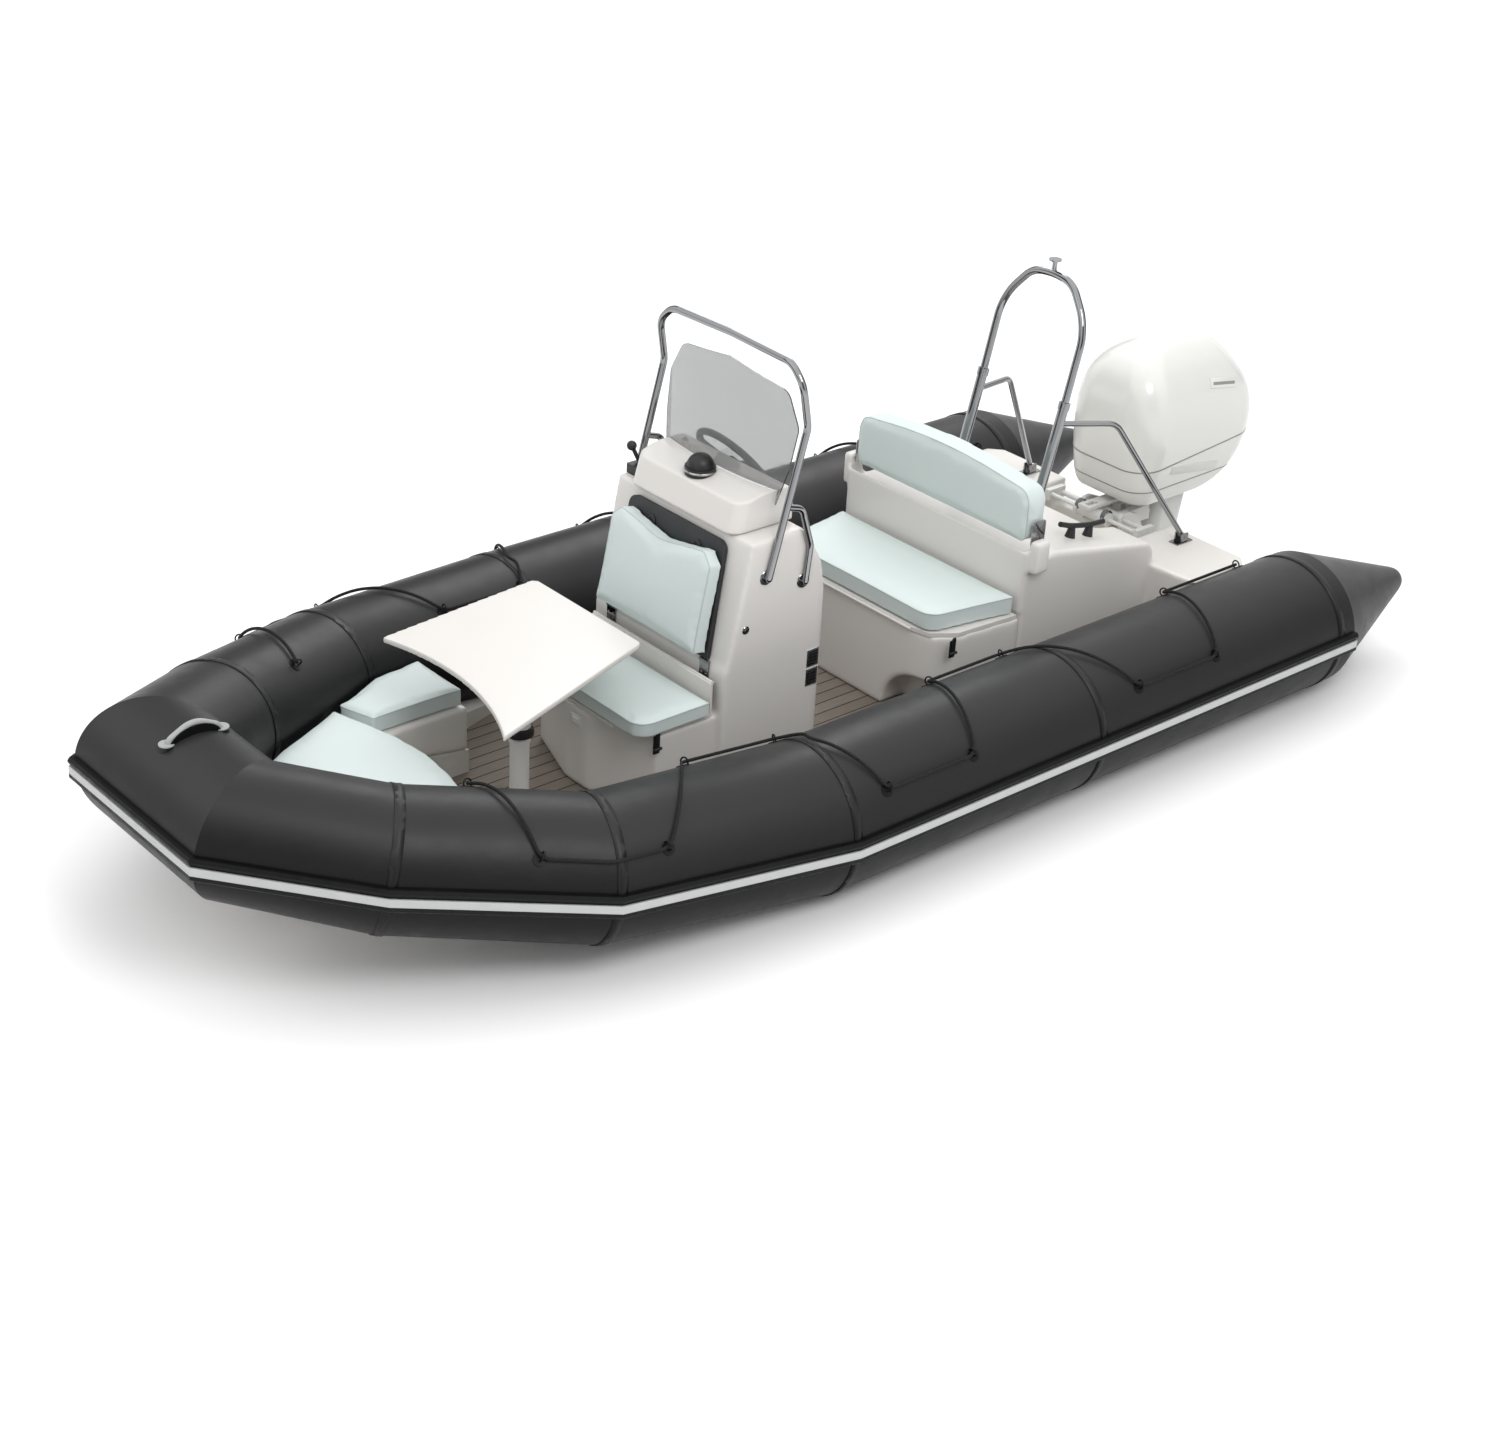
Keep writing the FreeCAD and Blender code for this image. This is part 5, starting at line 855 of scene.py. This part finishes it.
class RIB_OT_console(bpy.types.Operator):
    """Gauges, switches, vents, rail flanges and their screws, a side bolt and the compass ring of the console
    """
    bl_idname = "rib.console"
    bl_label = "Console fittings"

    def execute(self, context):
        low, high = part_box("console_body")
        pod_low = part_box("dash_pod")[0]
        side = high[1]
        aft = Vector((-1, 0, 0))
        for number, (y, z, radius) in enumerate(GAUGES):
            at = frame_of(Vector((pod_low[0] + 0.002, y, pod_low[2] + 0.062 + z)), aft)
            turned(f"gauge_bezel_{number}", at, ((0.0, -0.004), (radius, -0.004), (radius, 0.004),
                   (radius - 0.002, 0.0065), (radius - 0.006, 0.006), (radius - 0.008, 0.002), (0.0, 0.002)),
                   "polished", "boat")
            turned(f"gauge_face_{number}", at,
                   ((0.0, 0.0022), (radius - 0.0082, 0.0022), (radius - 0.0085, 0.0032),
                   (0.0, 0.0034)), "dial", "boat")
            turned(f"gauge_hub_{number}", at, ((0.006, 0.003), (0.006, 0.005), (0.0, 0.0056)), "dark",
                   "boat", 20)
            reading = Matrix.Rotation(0.6 + number * 0.5, 4, "Z")
            needle = at @ reading @ Matrix.Translation((0, radius * 0.32, 0.0045))
            pad_block(f"gauge_needle_{number}", needle, (0.0022, radius * 0.6, 0.001), "dark", "boat",
                      0.0003, 1)
        panel = frame_of(Vector((pod_low[0] + 0.001, 0.19, pod_low[2] + 0.06)), aft)
        pad_block("switch_panel", panel, (0.15, 0.06, 0.006), "charcoal", "boat", 0.002)
        for number in range(4):
            at = panel @ Matrix.Translation(((number - 1.5) * SWITCH_PITCH, 0, 0.004))
            pad_block(f"rocker_frame_{number}", at, (0.026, 0.042, 0.005), "dark", "boat", 0.0015)
            pad_block(f"rocker_{number}",
                      at @ Matrix.Rotation(0.16, 4, "X") @ Matrix.Translation((0, 0, 0.003)),
                      (0.018, 0.032, 0.006), "grey", "boat", 0.002)
        for number, z in enumerate(VENT_HEIGHTS):
            at = frame_of(Vector((low[0] + 0.06, side, z)), Vector((0, 1, 0)))
            pad_block(f"side_vent_frame_{number}", at, (0.058, 0.074, 0.006), "alloy", "boat", 0.0025)
            pad_block(f"side_vent_well_{number}", at @ Matrix.Translation((0, 0, 0.0014)),
                      (0.042, 0.058, 0.006), "dark",
                      "boat", 0.001)
            for slat in range(4):
                row = Matrix.Translation((0, -0.0195 + slat * 0.013, 0.0047))
                place_slat = at @ row @ Matrix.Rotation(0.5, 4, "X")
                pad_block(f"side_vent_slat_{number}_{slat}", place_slat, (0.04, 0.0075, 0.0016), "casting",
                          "boat", 0.0005, 1)
        heads, flanges = [], []
        for sign in (1, -1):
            out = Vector((0, sign, 0))
            for x, z in RAIL_FEET:
                foot = Vector((x, sign * side, z))
                flanges.append((foot, out))
                for turn in range(3):
                    angle = turn * 2 * math.pi / 3 + 0.4
                    spoke = Vector((math.cos(angle), 0, math.sin(angle))) * 0.021
                    heads.append((foot + spoke + out * 0.0042, out))
        for number, (foot, out) in enumerate(flanges):
            turned(f"rail_flange_{number}", frame_of(foot, out),
                   ((0.0, -0.002), (0.028, -0.002), (0.029, 0.0015),
                   (0.0265, 0.004), (0.017, 0.0052), (0.0, 0.0052)), "polished", "boat")
        bolt = frame_of(Vector(((low[0] + high[0]) / 2 - 0.03, side, 0.74)), Vector((0, 1, 0)))
        turned("side_bolt", bolt, ((0.0, -0.002), (0.016, -0.002), (0.0165, 0.001), (0.014, 0.0035),
                                   (0.009, 0.004),
               (0.0085, 0.007), (0.0, 0.008)), "polished", "boat")
        screws("console_screws", heads, 0.0032, "polished", "boat")
        compass_low, compass_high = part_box("compass")
        middle = (Vector(compass_low) + Vector(compass_high)) / 2
        radius = (compass_high[1] - compass_low[1]) / 2
        turned("compass_ring", Matrix.Translation((middle.x, middle.y, compass_low[2] + 0.012)),
               ((radius - 0.002, 0.0), (radius + 0.003, 0.001), (radius + 0.004, 0.005),
                (radius + 0.002, 0.009),
                (radius - 0.004, 0.0095)), "stainless", "boat")
        return {"FINISHED"}


class RIB_OT_seats(bpy.types.Operator):
    """Panel knobs, hinge screws, latches and straps of the seats"""
    bl_idname = "rib.seats"
    bl_label = "Seat fittings"

    def execute(self, context):
        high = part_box("back_panel")[1]
        lean = Vector((math.cos(PANEL_LEAN), 0, math.sin(PANEL_LEAN)))
        skin = BVHTree.FromObject(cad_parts["back_panel"], bpy.context.evaluated_depsgraph_get())
        for number, y in enumerate(KNOB_SPREAD):
            hit = skin.ray_cast(Vector((high[0] + 0.4, y, high[2] - 0.06)), Vector((-1, 0, 0)))[0]
            turned(f"panel_knob_{number}", frame_of(hit, lean),
                   ((0.0, -0.002), (0.021, -0.002), (0.0215, 0.004),
                   (0.018, 0.0075), (0.012, 0.0078), (0.009, 0.0045), (0.0, 0.004)), "dark", "front_back")
        heads = []
        hinge_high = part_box("seat_hinges")[1]
        for sign in (1, -1):
            for dy in (0.012, 0.038):
                for dz in (0.014, 0.036):
                    head = (hinge_high[0] - 0.004, sign * (hinge_high[1] - dy), hinge_high[2] - 0.02 - dz)
                    heads.append((Vector(head), Vector((1, 0, 0))))
        screws("hinge_screws", heads, 0.0035, "stainless", "boat")
        seat_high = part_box("front_seat_lid")[1]
        bench_low, bench_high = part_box("bench_lid")
        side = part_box("console_body")[1][1]
        for name, *at in (("front_seat_latch", seat_high[0] - 0.09, side - 0.034, 0.372),
                          ("bench_latch", bench_high[0] - 0.075, bench_high[1], bench_low[2] - 0.03)):
            at = frame_of(Vector(at), Vector((0, 1, 0)))
            pad_block(name + "_plate", at, (0.03, 0.075, 0.006), "dark", "boat", 0.0025)
            pad_block(name + "_strap", at @ Matrix.Translation((0, 0.016, 0.007)), (0.018, 0.07, 0.008),
                      "dark", "boat", 0.0035)
            pad_block(name + "_tee", at @ Matrix.Translation((0, -0.014, 0.01)), (0.036, 0.012, 0.012),
                      "dark", "boat", 0.005)
        base_low, base_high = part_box("console_body")
        front = frame_of(Vector((base_high[0], 0.0, base_low[2] + 0.27)), Vector((1, 0, 0)))
        pad_block("seat_catch_frame", front, (0.06, 0.045, 0.006), "cowl", "boat", 0.0028)
        pad_block("seat_catch", front @ Matrix.Translation((0, 0.002, 0.003)), (0.036, 0.024, 0.006),
                  "dial", "boat", 0.0028)
        back_low, back_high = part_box("bench_backrest")
        for sign in (1, -1):
            x = (back_low[0] + back_high[0]) / 2
            points = [Vector((x + 0.02, sign * (back_high[1] + 0.001), back_low[2] + 0.1)),
                      Vector((x, sign * (back_high[1] + 0.004), back_low[2] + 0.065)),
                      Vector((x - 0.03, sign * (back_high[1] + 0.003), back_low[2] + 0.045))]
            bar(f"backrest_strap_{'port' if sign > 0 else 'starboard'}", points, 0.005, "dark", "backrest",
                curved=True)
        return {"FINISHED"}


class RIB_OT_arch(bpy.types.Operator):
    """The black collar and head of the table's pedestal"""
    bl_idname = "rib.arch"
    bl_label = "Arch and table fittings"

    def execute(self, context):
        pin_low, pin_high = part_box("table_pedestal")
        top_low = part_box("table_top")[0]
        centre = (Vector(pin_low) + Vector(pin_high)) / 2
        turned("pedestal_collar", Matrix.Translation((centre.x, centre.y, 0.37)),
               ((0.0363, 0.0), (0.052, 0.001), (0.053, 0.012), (0.047, 0.03), (0.0405, 0.034),
                (0.0363, 0.0345)), "dark", "boat")
        turned("pedestal_head", Matrix.Translation((centre.x, centre.y, top_low[2] - 0.036)),
               ((0.0363, 0.0), (0.044, 0.002), (0.047, 0.024), (0.075, 0.03), (0.076, 0.0355),
                (0.0363, 0.0357)), "dark", "boat")
        return {"FINISHED"}


class RIB_OT_engine(bpy.types.Operator):
    """Cowl seams, intake scoop and trim of the outboard, and the caps of its steering ram"""
    bl_idname = "rib.engine"
    bl_label = "Engine trim"

    def execute(self, context):
        low, high = (Vector(corner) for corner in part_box("engine_cowl"))
        middle = (low + high) / 2
        # Grey bands along the cowl's seams: painted shadow of the gaps between its parts.
        band("cowl_lower_seam", "engine_cowl", Vector((middle.x, 0, low.z + 0.2)), Vector((0.1, 0, 0.995)),
             0.006,
             0.0012, "joint", "engine")
        band("cowl_foot_seam", "engine_cowl", Vector((middle.x, 0, low.z + 0.075)),
             Vector((0.02, 0, 1)).normalized(),
             0.005, 0.001, "joint", "engine")
        skin = BVHTree.FromObject(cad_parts["engine_cowl"], bpy.context.evaluated_depsgraph_get())
        for sign in (1, -1):
            tag = "port" if sign > 0 else "starboard"
            for name, x, z, size, finish in (
                    ("scoop_lip", low.x + 0.27, high.z - 0.17, (0.17, 0.045, 0.008), "cowl"),
                    # The slot in the scoop is a grey block: painted shade inside the opening.
                    ("scoop_slot", low.x + 0.27, high.z - 0.172, (0.14, 0.014, 0.011), "joint"),
                    ("lower_trim", middle.x + 0.02, low.z + 0.13, (0.32, 0.04, 0.006), "paint")):
                hit, normal = skin.ray_cast(Vector((x, sign * 1.0, z)), Vector((0, -sign, 0)))[:2]
                out = normal if normal.y * sign > 0 else -normal
                at = frame_of(hit, out) @ Matrix.Rotation(-0.15 * sign, 4, "Z")
                pad_block(f"cowl_{name}_{tag}", at, size, finish, "engine", 0.0029)
        ram_low, ram_high = (Vector(corner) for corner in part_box("steering_cylinder"))
        axis = (ram_low + ram_high) / 2
        for sign in (1, -1):
            at = frame_of(Vector((axis.x, sign * (ram_high.y - 0.016), axis.z)), Vector((0, sign, 0)),
                          Vector((0, 0, 1)))
            turned(f"ram_cap_{'port' if sign > 0 else 'starboard'}", at,
                   ((0.0275, -0.012), (0.0285, -0.01), (0.0285, 0.008),
                   (0.0275, 0.0105), (0.0275, 0.0108)), "grey", "ram")
        return {"FINISHED"}


class RIB_PT_panel(bpy.types.Panel):
    """Sidebar panel with the boat's settings and steps"""
    bl_idname = "RIB_PT_panel"
    bl_label = "Rib boat"
    bl_space_type = "VIEW_3D"
    bl_region_type = "UI"
    bl_category = "Rib boat"

    def draw(self, context):
        for name in RIB_Settings.__annotations__:
            self.layout.prop(context.scene.rib_settings, name)
        for step in STEPS:
            self.layout.operator(step.bl_idname)


STEPS = (RIB_OT_stage, RIB_OT_finishes, RIB_OT_mouldings, RIB_OT_cushions, RIB_OT_tube_trim, RIB_OT_rings,
         RIB_OT_console,
         RIB_OT_seats, RIB_OT_arch, RIB_OT_engine)
CLASSES = (RIB_Settings,) + STEPS + (RIB_PT_panel,)


def register():
    for each in CLASSES:
        bpy.utils.register_class(each)
    bpy.types.Scene.rib_settings = bpy.props.PointerProperty(type=RIB_Settings)


def unregister():
    del bpy.types.Scene.rib_settings
    for each in reversed(CLASSES):
        bpy.utils.unregister_class(each)


def main():
    register()
    for step in STEPS:
        space, name = step.bl_idname.split(".")
        getattr(getattr(bpy.ops, space), name)()


if __name__ == "__main__":
    main()
